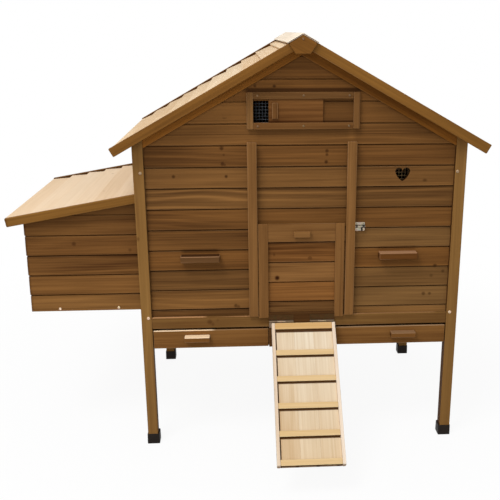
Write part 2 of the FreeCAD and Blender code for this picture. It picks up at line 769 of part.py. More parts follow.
# Trays: a front board with a wooden handle, and a box of three walls on a floor
tray_spans = {
    "left": (-inner_half + tray_side_play, apron_left - tray_centre_play),
    "right": (apron_right + tray_centre_play, inner_half - tray_side_play),
}
tray_start = rail_recess + tray_front_thick
tray_end = tray_bay_back - tray_back_play
for side, (x0, x1) in tray_spans.items():
    wall_low = tray_underside + tray_floor
    wall_high = tray_underside + tray_wall_height
    nodes[side + "_tray_box"] = [
        box(x0, x1, tray_start, tray_end, tray_underside, wall_low),
        box(x0, x0 + tray_wall, tray_start, tray_end, wall_low, wall_high),
        box(x1 - tray_wall, x1, tray_start, tray_end, wall_low, wall_high),
        box(x0 + tray_wall, x1 - tray_wall, tray_end - tray_wall, tray_end, wall_low, wall_high),
    ]
    nodes[side + "_tray_front"] = [box(
        x0, x1, rail_recess, tray_start, tray_underside, tray_underside + tray_front_height)]
    handle_x = math.copysign(tray_handle_spacing / 2, x0)
    handle_z = tray_underside + tray_handle_low
    nodes[side + "_tray_handle"] = [box(
        handle_x - tray_handle_length / 2, handle_x + tray_handle_length / 2,
        rail_recess - tray_handle_reach, rail_recess, handle_z, handle_z + tray_handle_height)]

# Perches across the house from front to back, with rounded top edges, on blocks at both walls
perches = []
bearers = []
perch_start = wall_back + perch_end_play
perch_length = house_depth - 2 * perch_start
for x in (perch_first_offset, perch_second_offset):
    bar = box(x - perch_width / 2, x + perch_width / 2, perch_start, perch_start + perch_length,
              perch_underside, perch_underside + perch_height)
    top_z = perch_underside + perch_height
    long_edges = [e for e in bar.Edges if e.Length > perch_length - 1 and e.CenterOfMass.z > top_z - 1]
    perches.append(bar.makeFillet(perch_rounding, long_edges))
    for y in (wall_back, house_depth - wall_back - perch_bearer_depth):
        bearers.append(box(x - perch_width / 2, x + perch_width / 2, y, y + perch_bearer_depth,
                           perch_underside - perch_bearer_height, perch_underside))
nodes["perches"] = perches
nodes["perch_bearers"] = bearers


def hinge_leaf(start, axis, leaf, face, back, knuckles):
    """One leaf of a butt hinge: a plate along leaf, with its back this far from the pin towards
    face, and barrels over the stretches of the pin that knuckles lists."""
    start = FreeCAD.Vector(*start)
    axis = FreeCAD.Vector(*axis)
    leaf = FreeCAD.Vector(*leaf)
    face = FreeCAD.Vector(*face)

    def slab(a0, a1, l0, l1):
        outline = []
        for l, f in ((l0, back - hinge_leaf_thick), (l1, back - hinge_leaf_thick), (l1, back), (l0, back)):
            outline.append(start + axis * a0 + leaf * l + face * f)
        return prism([tuple(p) for p in outline], tuple(axis * (a1 - a0)))

    root = hinge_barrel_radius + hinge_joint_gap
    shape = slab(0, hinge_length, root, hinge_leaf_width)
    for a0, a1 in knuckles:
        shape = shape.fuse(slab(a0, a1, 0, root))
        shape = shape.fuse(Part.makeCylinder(hinge_barrel_radius, a1 - a0, start + axis * a0, axis))
    bore = Part.makeCylinder(hinge_pin_radius + hinge_running_clearance, hinge_length, start, axis)
    return shape.cut(bore).removeSplitter()


# Butt hinges of the ramp and of the lid: fixed leaves, moving leaves and pins
third = hinge_length / 3
outer_knuckles = [(0, third - hinge_joint_gap), (2 * third + hinge_joint_gap, hinge_length)]
middle_knuckle = [(third, 2 * third)]
hinge_back = hinge_barrel_radius + hinge_stand_off
ramp_pivot_y = -apron_reach - hinge_back
lid_pivot_x = -half_width - hinge_back
lid_pivot_lift = hinge_barrel_radius + hinge_joint_gap
lid_pivot_z = lid_line(lid_pivot_x, deck_drop - lid_pivot_lift)
fixed_leaves = []
pins = []
ramp_leaves = []
lid_leaves = []
for side in (-1, 1):
    x = door_offset + side * ramp_hinge_spacing / 2 - hinge_length / 2
    start = (x, ramp_pivot_y, ramp_pivot_height)
    fixed_leaves.append(hinge_leaf(start, (1, 0, 0), (0, 0, 1), (0, 1, 0), hinge_back, outer_knuckles))
    ramp_leaves.append(hinge_leaf(start, (1, 0, 0), (0, 0, -1), (0, 1, 0), hinge_back - ramp_head_play,
                                  middle_knuckle))
    pins.append(rod(start, (1, 0, 0), hinge_pin_radius, hinge_length))
    y = house_depth / 2 + side * (house_depth / 2 - lid_hinge_setback) - hinge_length / 2
    start = (lid_pivot_x, y, lid_pivot_z)
    fixed_leaves.append(hinge_leaf(start, (0, 1, 0), (0, 0, 1), (1, 0, 0), hinge_back, outer_knuckles))
    lid_leaves.append(hinge_leaf(start, (0, 1, 0), (-cos_lid, 0, -sin_lid), (sin_lid, 0, -cos_lid),
                                 lid_pivot_lift, middle_knuckle))
    pins.append(rod(start, (0, 1, 0), hinge_pin_radius, hinge_length))
nodes["hinge_fixed_leaves"] = fixed_leaves
nodes["hinge_pins"] = pins
nodes["ramp_hinge_leaves"] = ramp_leaves
nodes["lid_hinge_leaves"] = lid_leaves


def ramp_bar(x0, x1, s0, s1, top, bottom):
    """A bar on the ramp from s0 to s1 along it, its top and bottom this far below the rails' tops,
    cut at the ramp's head to stand flat against the moving hinge leaves."""
    outline = []
    for s, h in ((s0, -top), (s1, -top), (s1, -bottom), (s0, -bottom)):
        y = ramp_pivot_y - s * cos_ramp - h * sin_ramp
        z = ramp_pivot_height - s * sin_ramp + h * cos_ramp
        outline.append((x0, y, z))
    bar = prism(outline, (x1 - x0, 0, 0))
    return bar.common(ramp_space)


# Ramp: side rails, lengthwise deck boards and cleats between the rails. Its head is cut to bear
# on the apron, which holds the ramp at its slope with the foot clear of the ground.
ramp_face_y = ramp_pivot_y + hinge_back - ramp_head_play - hinge_leaf_thick
ramp_tip_y = ramp_pivot_y - ramp_length * cos_ramp
ramp_space = box(-half_width, half_width, ramp_tip_y - ramp_length, ramp_face_y, 0, ridge_z)
ramp_left = door_offset + ramp_offset - ramp_width / 2
ramp_right = ramp_left + ramp_width
deck_left = ramp_left + ramp_rail_width
deck_right = ramp_right - ramp_rail_width
nodes["ramp_side_rails"] = [
    ramp_bar(ramp_left, deck_left, ramp_head_start, ramp_length, 0, ramp_rail_depth),
    ramp_bar(deck_right, ramp_right, ramp_head_start, ramp_length, 0, ramp_rail_depth),
]
deck_board = (deck_right - deck_left) / ramp_deck_boards
nodes["ramp_deck_boards"] = [
    ramp_bar(deck_left + k * deck_board, deck_left + (k + 1) * deck_board, ramp_head_start, ramp_length,
             ramp_deck_drop, ramp_deck_drop + ramp_deck_thick)
    for k in range(ramp_deck_boards)
]
cleat_middles = [ramp_length - ramp_last_cleat - k * ramp_cleat_spacing for k in range(ramp_cleat_count)]
cleats = [
    ramp_bar(deck_left, deck_right, s - ramp_cleat_width / 2, s + ramp_cleat_width / 2,
             ramp_cleat_drop, ramp_deck_drop)
    for s in cleat_middles
]
cleats.append(ramp_bar(deck_left, deck_right, ramp_head_start, ramp_head_start + ramp_head_cleat_width,
                       ramp_cleat_drop, ramp_deck_drop))
nodes["ramp_cleats"] = cleats


def screw_head(x, y, z, lean):
    """A low domed head on a face that looks to the front and leans back this much per unit height."""
    facing = FreeCAD.Vector(0, -1, lean).normalize()
    seat = FreeCAD.Vector(x, y, z)
    plate = Part.makeCylinder(screw_head_radius, screw_head_height, seat, facing)
    rim = [e for e in plate.Edges if e.CenterOfMass.isEqual(seat + facing * screw_head_height, 1e-6)]
    return plate.makeFillet(screw_head_height / 2, rim)


# Screw heads on the front posts, the vent frame, the nest box and the front finial
screws = []
for side in (-1, 1):
    for z in (post_screw_low, post_screw_high):
        screws.append(screw_head(side * (half_width - post_screw_inset), 0, z, 0))
for z in (vent_low + vent_member / 2, vent_high - vent_member / 2):
    for step in (-1, 0, 1):
        screws.append(screw_head(vent_offset + step * vent_screw_spacing, 0, z, 0))
nest_screw_z = nest_bottom + nest_screw_rise
board_lean = (board_thick - board_thin) / board_pitch
for reach in (nest_screw_outer, nest_screw_inner):
    seat_y = nest_front - board_depth(nest_screw_z, nest_joint - board_pitch)
    screws.append(screw_head(-half_width - reach, seat_y, nest_screw_z, board_lean))
screws.append(screw_head(0, -verge_reach - finial_thick, ridge_z - finial_screw_drop, 0))
nodes["screw_heads"] = screws

# Shift to the middle of the whole object on the ground, and write one file for each node
x_middle = (eave_x - lid_tip_x) / 2
y_middle = (ramp_tip_y + cap_start + cap_length) / 2
origin_shift = FreeCAD.Vector(-x_middle, -y_middle, 0)
os.makedirs("parts", exist_ok=True)
for name, solids in nodes.items():
    shape = solids[0] if len(solids) == 1 else Part.makeCompound(solids)
    moved = shape.copy()
    moved.translate(origin_shift)
    moved.exportStep("parts/" + name + ".step")
    if not moved.isValid():
        print("not valid:", name)
print(len(nodes), "nodes,", sum(len(s) for s in nodes.values()), "solids")
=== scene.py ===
import math
import bpy
import numpy as np
from mathutils import Matrix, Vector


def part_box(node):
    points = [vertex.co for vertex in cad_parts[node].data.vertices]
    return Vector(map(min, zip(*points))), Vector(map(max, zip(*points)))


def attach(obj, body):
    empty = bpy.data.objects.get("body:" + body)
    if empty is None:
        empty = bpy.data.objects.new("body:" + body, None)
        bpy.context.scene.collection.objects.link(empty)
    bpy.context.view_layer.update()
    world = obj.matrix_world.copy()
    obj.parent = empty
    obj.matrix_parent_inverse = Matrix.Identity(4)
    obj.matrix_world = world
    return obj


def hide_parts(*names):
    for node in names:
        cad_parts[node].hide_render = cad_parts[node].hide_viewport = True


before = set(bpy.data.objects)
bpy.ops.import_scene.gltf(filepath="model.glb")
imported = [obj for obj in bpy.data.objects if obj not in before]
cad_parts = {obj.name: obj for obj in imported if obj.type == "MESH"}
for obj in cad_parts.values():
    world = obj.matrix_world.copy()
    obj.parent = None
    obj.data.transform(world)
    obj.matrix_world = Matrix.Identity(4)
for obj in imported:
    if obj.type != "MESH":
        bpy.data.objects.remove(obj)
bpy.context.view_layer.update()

# Corner posts: four square lengths of planed softwood, stained honey brown, edges eased.
# Each is sawn to the roof's slope at its head; rails, walls and trays are fixed between them.
# Sizes are millimetres from the ground midway between the front posts' front faces.
MM = 0.001
left_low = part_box("front_left_post")[0]
right_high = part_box("front_right_post")[1]
house = np.array([(left_low.x + right_high.x) / 2, left_low.y, 0.0])
roof_pitch = math.radians(29.36)
roof_rise, roof_cos, roof_sin = math.tan(roof_pitch), math.cos(roof_pitch), math.sin(roof_pitch)
ridge = 1005.7 + 500 * roof_rise
deck_depth = 18.0


def roof_height(x, below):
    """Height of the plane this far below the roof's top line, measured square to the slope."""
    return ridge - roof_rise * np.abs(x) - below / roof_cos


def stain(red, green, blue):
    """A finish written as 0 to 255 values, turned into the share of light that it gives back."""
    level = np.array([red, green, blue]) / 255
    light = np.where(level <= 0.04045, level / 12.92, ((level + 0.055) / 1.055) ** 2.4)
    return (*light.tolist(), 1.0)


def add(tree, kind, sockets={}, **settings):
    """One shader node; each socket is given a number, a colour or another node's output."""
    made = tree.nodes.new("ShaderNode" + kind)
    for key, value in settings.items():
        setattr(made, key, value)
    for key, value in sockets.items():
        if isinstance(value, bpy.types.NodeSocket):
            tree.links.new(value, made.inputs[key])
        else:
            made.inputs[key].default_value = value
    return made


def sums(tree, operation, *values):
    """One step of arithmetic on shader values."""
    return add(tree, "Math", dict(enumerate(values)), operation=operation).outputs[0]


def mix(tree, share, first, second, blend="MIX"):
    """The first colour turned into the second by this share."""
    sockets = {0: share, 6: first, 7: second}
    return add(tree, "Mix", sockets, data_type="RGBA", blend_type=blend).outputs[2]


def vector(tree, operation, *values):
    """One step of arithmetic on shader vectors; a length or a distance comes back as a number."""
    made = add(tree, "VectorMath", dict(enumerate(values)), operation=operation)
    return made.outputs["Value" if operation in ("LENGTH", "DISTANCE") else "Vector"]


def fade(tree, value, none, full):
    """A share that grows evenly from nought at one value to one at the other."""
    return add(tree, "MapRange", {0: value, 1: none, 2: full}).outputs[0]


def noise(tree, where, scale, detail):
    """Soft blotches between nought and one."""
    sockets = {"Vector": where, "Scale": scale, "Detail": detail}
    return add(tree, "TexNoise", sockets).outputs[0]


def blank(name):
    """A new finish, its shader tree and the place on the piece, which is all that the tree holds."""
    made = bpy.data.materials.new(name)
    made.use_nodes = True
    tree = made.node_tree
    tree.nodes.clear()
    return made, tree, add(tree, "TexCoord").outputs["Object"]


def dress(tree, sockets):
    """Ends a shader tree in one surface with these sockets."""
    add(tree, "OutputMaterial", {0: add(tree, "BsdfPrincipled", sockets).outputs[0]})


def wood(name, pale, deep, marks=(), patches=(), contrast=1.0, sheen=0.6, worn=0.4, bare=None,
         hue=(1.0, 0.84, 0.66, 1.0), dark=None):
    """Stained softwood between two colours. Clouds, streaks and fibres are noise drawn out along the
    grain. Rings show pale in patches, as a sine of the distance across the grain bent by slow noise
    and by knots. Outer edges are paled to the bare colour in places, as wear and as painted highlights,
    and inner corners and shaded sides are darkened as painted shade. Seen from the front, marks lists
    knots as x, z, radius and darkness, and patches lists places as x, z, half sizes and a share by
    which they are darkened as painted shade or, below nought, paled to the bare colour as painted
    highlights."""
    made, tree, where = blank(name)
    bare = bare or (*(min(1.3 * c + 0.05, 0.9) for c in pale[:3]), 1.0)
    dark = dark or (0.4 * deep[0], 0.26 * deep[1], 0.16 * deep[2], 1.0)
    spread = add(tree, "UVMap", uv_map="grain").outputs[0]
    board = add(tree, "Attribute", attribute_name="board").outputs["Vector"]
    plank, tone, warm = add(tree, "SeparateXYZ", {0: board}).outputs
    along, across, _ = add(tree, "SeparateXYZ", {0: spread}).outputs
    layer = sums(tree, "MULTIPLY", plank, 60.0)
    place = add(tree, "CombineXYZ", {0: along, 1: across, 2: layer}).outputs[0]

    def drawn(length, width, detail):
        return noise(tree, vector(tree, "MULTIPLY", place, (length, width, 1.0)), 1.0, detail)

    cells = vector(tree, "MULTIPLY", place, (6.0, 9.0, 1.0))
    nearest = add(tree, "TexVoronoi", {"Vector": cells, "Scale": 1.0}).outputs["Distance"]
    knot = fade(tree, nearest, 0.06, 0.02)
    upright = vector(tree, "MULTIPLY", where, (1.0, 0.0, 1.0))
    sawn = add(tree, "Attribute", attribute_name="cut").outputs["Fac"]
    dark_and_shade = sums(tree, "MAXIMUM", sums(tree, "MULTIPLY", sawn, 0.5), sums(tree, "MULTIPLY", knot, 0.5))
    for x, z, radius, share in marks:
        away = vector(tree, "DISTANCE", upright, (x * MM + house[0], 0.0, z * MM))
        spot = fade(tree, away, radius * 1.8 * MM, radius * 0.7 * MM)
        knot = sums(tree, "MAXIMUM", knot, spot)
        dark_and_shade = sums(tree, "MAXIMUM", dark_and_shade, sums(tree, "MULTIPLY", spot, share))
    painted_highlight, soft_end = 0.0, 8
    for x, z, half_x, half_z, share in patches:
        off = vector(tree, "SUBTRACT", upright, (x * MM + house[0], 0.0, z * MM))
        off_x, _, off_z = add(tree, "SeparateXYZ", {0: vector(tree, "ABSOLUTE", off)}).outputs
        patch = fade(tree, off_x, (half_x + soft_end) * MM, (half_x - soft_end) * MM)
        high = fade(tree, off_z, half_z * 1.3 * MM, half_z * 0.7 * MM)
        patch = sums(tree, "MULTIPLY", sums(tree, "MULTIPLY", patch, high), abs(share))
        # Patches above nought are painted shade, below nought painted highlights.
        if share > 0:
            dark_and_shade = sums(tree, "MAXIMUM", dark_and_shade, patch)
        else:
            painted_highlight = sums(tree, "MAXIMUM", painted_highlight, patch)

    bend = sums(tree, "MULTIPLY_ADD", drawn(1.2, 7.0, 2.0), 5.0, knot)
    phase = sums(tree, "MULTIPLY_ADD", across, 45.0, bend)
    wave = sums(tree, "SINE", sums(tree, "MULTIPLY", phase, 2 * math.pi))
    ring = sums(tree, "POWER", sums(tree, "MULTIPLY_ADD", wave, 0.5, 0.5), 3.0)
    ring = sums(tree, "MULTIPLY", ring, fade(tree, drawn(0.9, 8.0, 1.0), 0.47, 0.63))
    figure = add(tree, "Attribute", attribute_name="figure").outputs["Fac"]
    cloud, streak = drawn(2.0, 12.0, 3.0), drawn(1.4, 85.0, 3.0)
    vein, fibre = drawn(3.0, 190.0, 2.0), drawn(7.0, 330.0, 2.0)
    shade = tone
    for part, weight in ((cloud, 1.1), (streak, 0.7), (vein, 0.8), (fibre, 0.3),
                         (sums(tree, "MULTIPLY", ring, figure), -1.0)):
        shade = sums(tree, "MULTIPLY_ADD", part, weight * contrast, shade)
    shade = sums(tree, "SUBTRACT", shade, 1.43 * contrast)
    shade.node.use_clamp = True
    colour = mix(tree, warm, mix(tree, shade, pale, deep), hue, "MULTIPLY")
    wear_light_and_shade = add(tree, "Attribute", attribute_name="wear_light_and_shade").outputs["Fac"]
    # Edges pale in places, as wear and as painted highlights.
    wear_and_highlight = sums(tree, "MULTIPLY", wear_light_and_shade, fade(tree, drawn(2.6, 2.6, 3.0), 0.42, 0.62))
    wear_and_highlight = sums(tree, "MAXIMUM", sums(tree, "MULTIPLY", wear_and_highlight, worn), painted_highlight)
    wear_and_highlight.node.use_clamp = True
    # Below nought, at inner corners and shaded sides, this darkens as painted shade.
    dark_and_shade = sums(tree, "MAXIMUM", dark_and_shade, sums(tree, "MULTIPLY", wear_light_and_shade, -0.8))
    colour = mix(tree, dark_and_shade, mix(tree, wear_and_highlight, colour, bare), dark)
    rough = sums(tree, "MULTIPLY_ADD", fibre, 0.16, sheen - 0.08)
    height = sums(tree, "MULTIPLY_ADD", streak, 0.6, fibre)
    relief = add(tree, "Bump", {"Strength": 0.3, "Distance": 0.0005, "Height": height}).outputs[0]
    dress(tree, {"Base Color": colour, "Roughness": rough, "Specular IOR Level": 0.04,
                 "Normal": relief})
    return made


def skin(name, finish, smooth, *groups):
    """Rings of points joined into closed shells. A group is (shell, station, point, xyz) in metres,
    and each ring turns to the left about the way its stations go, so that faces look outwards."""
    points = np.concatenate([rings.reshape(-1, 3) for rings in groups])
    faces, smoothed, first = [], [], 0
    for rings in groups:
        spot = first + np.arange(rings[..., 0].size).reshape(rings.shape[:3])
        turn = np.roll(spot, -1, 2)
        walls = np.stack([spot[:, :-1], turn[:, :-1], turn[:, 1:], spot[:, 1:]], -1).reshape(-1, 4)
        caps = np.concatenate([spot[:, 0, ::-1], spot[:, -1]])
        faces += walls.tolist() + caps.tolist()
        smoothed += [smooth] * len(walls) + [False] * len(caps)
        first += spot.size
    mesh = bpy.data.meshes.new(name)
    mesh.from_pydata(points, [], faces)
    mesh.polygons.foreach_set("use_smooth", smoothed)
    mesh.materials.append(finish)
    piece = bpy.data.objects.new(name, mesh)
    bpy.context.scene.collection.objects.link(piece)
    return piece


def fit(piece, node, body="house"):
    """Sets a piece in the place of a node of the frame, on its body."""
    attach(piece, body)
    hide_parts(node)
    return piece


def mark(mesh, name, values):
    """Keeps one number for each face under a name that a finish reads."""
    mesh.attributes.new(name, "FLOAT", "FACE").data.foreach_set("value", values)


def timber(node, slot, finish, bars, edge, tone=0.5, warm=0.4, body="house", end_grain_and_shade=1.0, shade_by_side=0.0,
           figure=0.22):
    """Bars of wood with eased edges. bars is (bar, station, corner, xyz): a section's corners,
    carried along the bar. A corner is rounded by a curve that starts and ends this far from it on
    its two sides, c + e(1-t)(1-t)a + e t t b; at both ends the section is drawn in by as much.
    The grain map runs along the bar and round it. Of the faces' own numbers, board holds chance,
    tone and warmth, figure how far rings show, cut the sawn ends, which darken as end grain and, above
    one, further as painted shade, and a last number the sine of each eased corner, which pales it as
    wear and as a painted highlight, below nought where it turns inwards and darkens it as painted
    shade. The shares given per side darken the side after a corner as painted shade, and paint it pale
    as a highlight where they are below nought."""
    bars = np.asarray(bars, float) * MM + house
    count, stops = bars.shape[:2]
    ahead = np.roll(bars, -1, 2) - bars
    behind = np.roll(bars, 1, 2) - bars
    far_ahead = np.linalg.norm(ahead, axis=-1, keepdims=True)
    far_behind = np.linalg.norm(behind, axis=-1, keepdims=True)
    ahead = ahead / np.maximum(far_ahead, 1e-9)
    behind = behind / np.maximum(far_behind, 1e-9)
    ease = np.minimum(edge * MM, 0.45 * np.minimum(far_ahead, far_behind))
    t = np.array([0.0, 0.5, 1.0])[:, None]
    curve = (1 - t) ** 2 * behind[:, :, :, None] + t ** 2 * ahead[:, :, :, None]
    ring = bars[:, :, :, None] + ease[:, :, :, None] * curve
    travel = bars[:, -1].mean(1) - bars[:, 0].mean(1)
    length = np.linalg.norm(travel, axis=1, keepdims=True)
    travel = travel / length
    loop = np.cross(bars[:, 0], np.roll(bars[:, 0], -1, 1)).sum(1)
    side = np.cross(ahead, behind)
    bluntness = np.linalg.norm(side, axis=-1, keepdims=True)
    turning = np.sign((side * loop[:, None, None]).sum(-1, keepdims=True))
    inner = turning * ease / np.maximum(bluntness, 0.3) * (ahead + behind)
    drawn_in = (ring + inner[:, :, :, None]).reshape(count, stops, -1, 3)
    ring = ring.reshape(count, stops, -1, 3)
    step = (travel * np.minimum(edge * MM, 0.3 * length))[:, None]
    rings = [drawn_in[:, 0], ring[:, 0] + step]
    rings += [ring[:, k] for k in range(1, stops - 1)]
    rings += [ring[:, -1] - step, drawn_in[:, -1]]
    rings = np.stack(rings, 1)
    corner_wear_and_shade = (turning * bluntness)[:, 0, :, 0]
    shade_on_sides = np.broadcast_to(-np.array(shade_by_side), corner_wear_and_shade.shape)
    wear_light_and_shade = np.stack([corner_wear_and_shade, corner_wear_and_shade, shade_on_sides], 2)
    wear_light_and_shade = wear_light_and_shade.reshape(count, -1)
    flip = (loop * travel).sum(1) < 0
    rings[flip] = rings[flip][:, :, ::-1]
    wear_light_and_shade[flip] = np.roll(wear_light_and_shade[flip][:, ::-1], -1, 1)
    piece = skin(node + "_wood", finish, False, rings)

    start = bars[:, 0].mean(1)[:, None, None]
    along = ((rings - start) * travel[:, None, None]).sum(-1)
    sides = np.linalg.norm(np.roll(rings[:, 1], -1, 1) - rings[:, 1], axis=-1)
    around = np.concatenate([np.zeros((count, 1)), np.cumsum(sides, 1)], 1)[:, None]
    here = np.broadcast_to(around[:, :, :-1], along[:, 1:].shape)
    there = np.broadcast_to(around[:, :, 1:], along[:, 1:].shape)
    turned = np.roll(along, -1, 2)
    u = np.stack([along[:, :-1], turned[:, :-1], turned[:, 1:], along[:, 1:]], -1)
    v = np.stack([here, there, there, here], -1)
    across = bars[:, 0, 1] - bars[:, 0, 0]
    across = across / np.linalg.norm(across, axis=1, keepdims=True)
    upward = np.cross(travel, across)
    faces = np.concatenate([rings[:, 0, ::-1], rings[:, -1]])
    off = faces - faces.mean(1, keepdims=True)
    cap_u = (off * np.tile(across, (2, 1))[:, None]).sum(-1)
    cap_v = (off * np.tile(upward, (2, 1))[:, None]).sum(-1)
    grain = [np.stack(pair, -1).ravel() for pair in ((u, v), (cap_u, cap_v))]
    mesh = piece.data
    mesh.uv_layers.new(name="grain").data.foreach_set("uv", np.concatenate(grain))
    chance = np.random.default_rng(sum(node.encode())).random(count)
    traits = np.stack([chance, np.broadcast_to(tone, count), np.broadcast_to(warm, count)], 1)
    wall_count = u[0].size // 4
    owner = np.concatenate([np.repeat(np.arange(count), wall_count), np.tile(np.arange(count), 2)])
    board = mesh.attributes.new("board", "FLOAT_VECTOR", "FACE")
    board.data.foreach_set("vector", traits[owner].ravel())
    mark(mesh, "figure", np.broadcast_to(figure, count)[owner])
    worn = np.repeat(wear_light_and_shade[:, None], rings.shape[1] - 1, 1)
    worn[:, [0, -1]] = np.maximum(worn[:, [0, -1]], 0.5)
    mark(mesh, "wear_light_and_shade", np.concatenate([worn.ravel(), np.zeros(2 * count)]))
    mark(mesh, "cut", np.concatenate([np.zeros(count * wall_count), np.full(2 * count, end_grain_and_shade)]))
    return fit(piece, node, body)


planed_pale, planed_deep = stain(151, 114, 63), stain(97, 64, 32)
post_finish = wood("planed_post_timber", planed_pale, planed_deep, contrast=0.7, worn=0.0)
wall_left, wall_right = -467.6, 468.0
bay_front, bay_back, post_foot = 35.0, 705.0, 4.0
# Each post's side toward the wall boards is darkened as painted shade.
for side, x0, x1, shaded_side in (("left", -500.0, wall_left, [0.0, 1.0, 0.0, 0.0]),
                                 ("right", wall_right, 502.0, [0.0, 0.0, 0.0, 1.05])):
    for end, y0, y1 in (("front", 0.0, bay_front), ("back", bay_back, 740.0)):
        foot = np.insert([(x0, y0), (x1, y0), (x1, y1), (x0, y1)], 2, post_foot, 1)
        head = foot.copy()
        head[:, 2] = roof_height(head[:, 0], deck_depth)
        timber(end + "_" + side + "_post", "frame_wood", post_finish, [[foot, head]], 2.2, 0.45, 0.2,
               shade_by_side=[shaded_side])

# Foot caps: black plastic cups, moulded with a slight draft, pressed over the posts' ends.
# They keep the end grain off wet ground.
black_plastic, tree, where = blank("black_moulded_plastic")
speck, scuff = noise(tree, where, 900.0, 2.0), noise(tree, where, 60.0, 4.0)
colour = mix(tree, scuff, stain(18, 14, 11), stain(38, 30, 24))
relief = add(tree, "Bump", {"Strength": 0.2, "Distance": 0.0003, "Height": speck}).outputs[0]
rough = sums(tree, "MULTIPLY_ADD", scuff, 0.3, 0.35)
dress(tree, {"Base Color": colour, "Roughness": rough, "Specular IOR Level": 0.12, "Normal": relief})


def rounded_square(half_x, half_y, radius, per_corner=6):
    """Points round a rectangle with rounded corners: each corner's centre plus its quarter arc."""
    angle = np.linspace(0, 2 * math.pi, 4 * per_corner, endpoint=False) + math.pi / (4 * per_corner)
    way = np.stack([np.cos(angle), np.sin(angle)], 1)
    return np.sign(way) * np.maximum([half_x - radius, half_y - radius], 0.0) + radius * way


cup_profile = np.array([
    (12.0, 0.6), (17.2, 0.6), (18.2, 0.0), (19.0, 0.0), (19.8, 0.5), (20.0, 1.5), (20.0, 12.0),
    (19.6, 33.0), (19.3, 34.5), (18.7, 35.0), (18.1, 34.8), (17.8, 33.8), (17.7, 6.0), (12.0, 4.0)])
cup_rings = np.stack([rounded_square(half, half, 2.6) for half, _ in cup_profile])
cup_heights = np.broadcast_to(cup_profile[:, None, 1:], cup_rings.shape[:2] + (1,))
cup = np.concatenate([cup_rings, cup_heights], 2)
post_middles = np.array([(x, y, 0.0) for x in (-482.5, 483.6) for y in (17.5, 722.5)])


def fitting(name, finish, node, slot, *groups, smooth=True, body="house"):
    """A piece that isn't wood, skinned from rings in millimetres and set in a node's place."""
    rings = [group * MM + house for group in groups]
    return fit(skin(name, finish, smooth, *rings), node, body)


fitting("foot_cups", black_plastic, "foot_caps", "foot_plastic", cup + post_middles[:, None, None])

# Bottom rails: flat strips planed from the posts' timber, screwed between the posts on all four
# sides over the lowest boards.


def boxes(*rows):
    """Square-edged pieces as bars: each row is x, x, y, y, z, z, and the grain takes its longest way.
    A corner lies at low + share * (high - low), with the shares turned round to the long axis."""
    limits = np.array(rows, float).reshape(-1, 3, 2)
    low = limits[:, None, None, :, 0]
    size = limits[:, None, None, :, 1] - low
    run = np.argmax(size, -1)[..., None]
    share = np.array([[(end, a, b) for a, b in ((0, 0), (1, 0), (1, 1), (0, 1))] for end in (0, 1)])
    order = np.broadcast_to((np.arange(3) - run) % 3, (len(limits), 2, 4, 3))
    return low + np.take_along_axis(np.broadcast_to(share, order.shape), order, -1) * size


rail_low, rail_high = 400, 437
rails = boxes((wall_left, wall_right, 2, 12, rail_low, rail_high),
              (wall_left, wall_right, 728, 738, rail_low, rail_high),
              (-498, -488, bay_front, bay_back, rail_low, rail_high),
              (488, 498, bay_front, bay_back, rail_low, rail_high))
rail_knots = [(-287, 420, 6.0, 0.5), (-278, 412, 4.0, 0.4), (-262, 425, 3.0, 0.25)]
# On the rails, the front's top edge is painted pale as a highlight, most at the left, and patches on
# the right and below the door's left stile are darkened as painted shade.
rail_light_and_shade = [(-385, 437, 84, 1.6, -0.55), (300, 437, 130, 1.6, -0.2), (310, 418, 190, 26, 0.16),
             (-116, 424, 16, 14, 0.3)]
rail_finish = wood("planed_frame_timber", planed_pale, planed_deep, rail_knots, rail_light_and_shade, 0.7,
                   worn=0.6, bare=stain(214, 160, 112))
timber("bottom_rails", "frame_wood", rail_finish, rails, 1.5, [0.68, 0.6, 0.6, 0.6], 0.15)

# Front wall: bevelled softwood boards, thick at the lower edge, nailed from post to post round the
# doorway and the vent. Each board's upper edge is rebated, which leaves a dark line at the joint.
front_knots = [
    (78, 953, 4.0, 0.65), (78, 942, 3.4, 0.6), (76, 920, 4.2, 0.75), (-237, 963, 4.8, 0.7),
    (-231, 943, 3.0, 0.4), (-235, 918, 4.4, 0.65), (-229, 915, 2.8, 0.5), (-382, 880, 4.0, 0.65),
    (-225, 879, 3.6, 0.75), (-136, 1143, 3.2, 0.6), (-79, 1142, 3.6, 0.75), (-204, 469, 4.6, 0.6),
    (-196, 466, 4.0, 0.5), (425, 589, 4.5, 0.65), (452, 570, 3.8, 0.5), (415, 556, 4.2, 0.35),
    (393, 496, 4.4, 0.55), (413, 496, 3.6, 0.55)]
# Painted shade on the front boards: a dark band just above each grip, and darker patches round and
# inside the vent frame, below the door and on the gable's right.
shade_above_grips = [(-310, 649, 56, 6.5, 0.5), (303, 649, 60, 6.5, 0.35)]
wall_shade = [(6, 1131, 172, 6.0, 0.75), (110, 1040, 52, 3.0, 0.8), (2, 440, 112, 16, 0.5),
             (300, 1003, 140, 28, 0.32), (108, 1072, 54, 44, 0.34), (4, 997, 138, 24, 0.22)]
front_boards = wood("front_cladding", stain(144, 105, 60), stain(71, 47, 24), front_knots,
                    shade_above_grips + wall_shade, 0.78)
board_pitch, board_thick, board_thin = 64, 12.0, 8.0
bevel = (board_thick - board_thin) / board_pitch
rebate_high, rebate_deep = 4.6, 5.2
wall_foot, wall_top, front_plane = 397, 1262, 24.0
door_left, door_right, door_head = -113.0, 117.0, 717
vent_left, vent_right = -142.0, 7.0


def laid(count, top):
    """Lower and upper edges of boards laid up from the walls' foot, the last one sawn off at top."""
    low = wall_foot + board_pitch * np.arange(count)
    return np.stack([low, np.minimum(low + board_pitch, top)], 1)


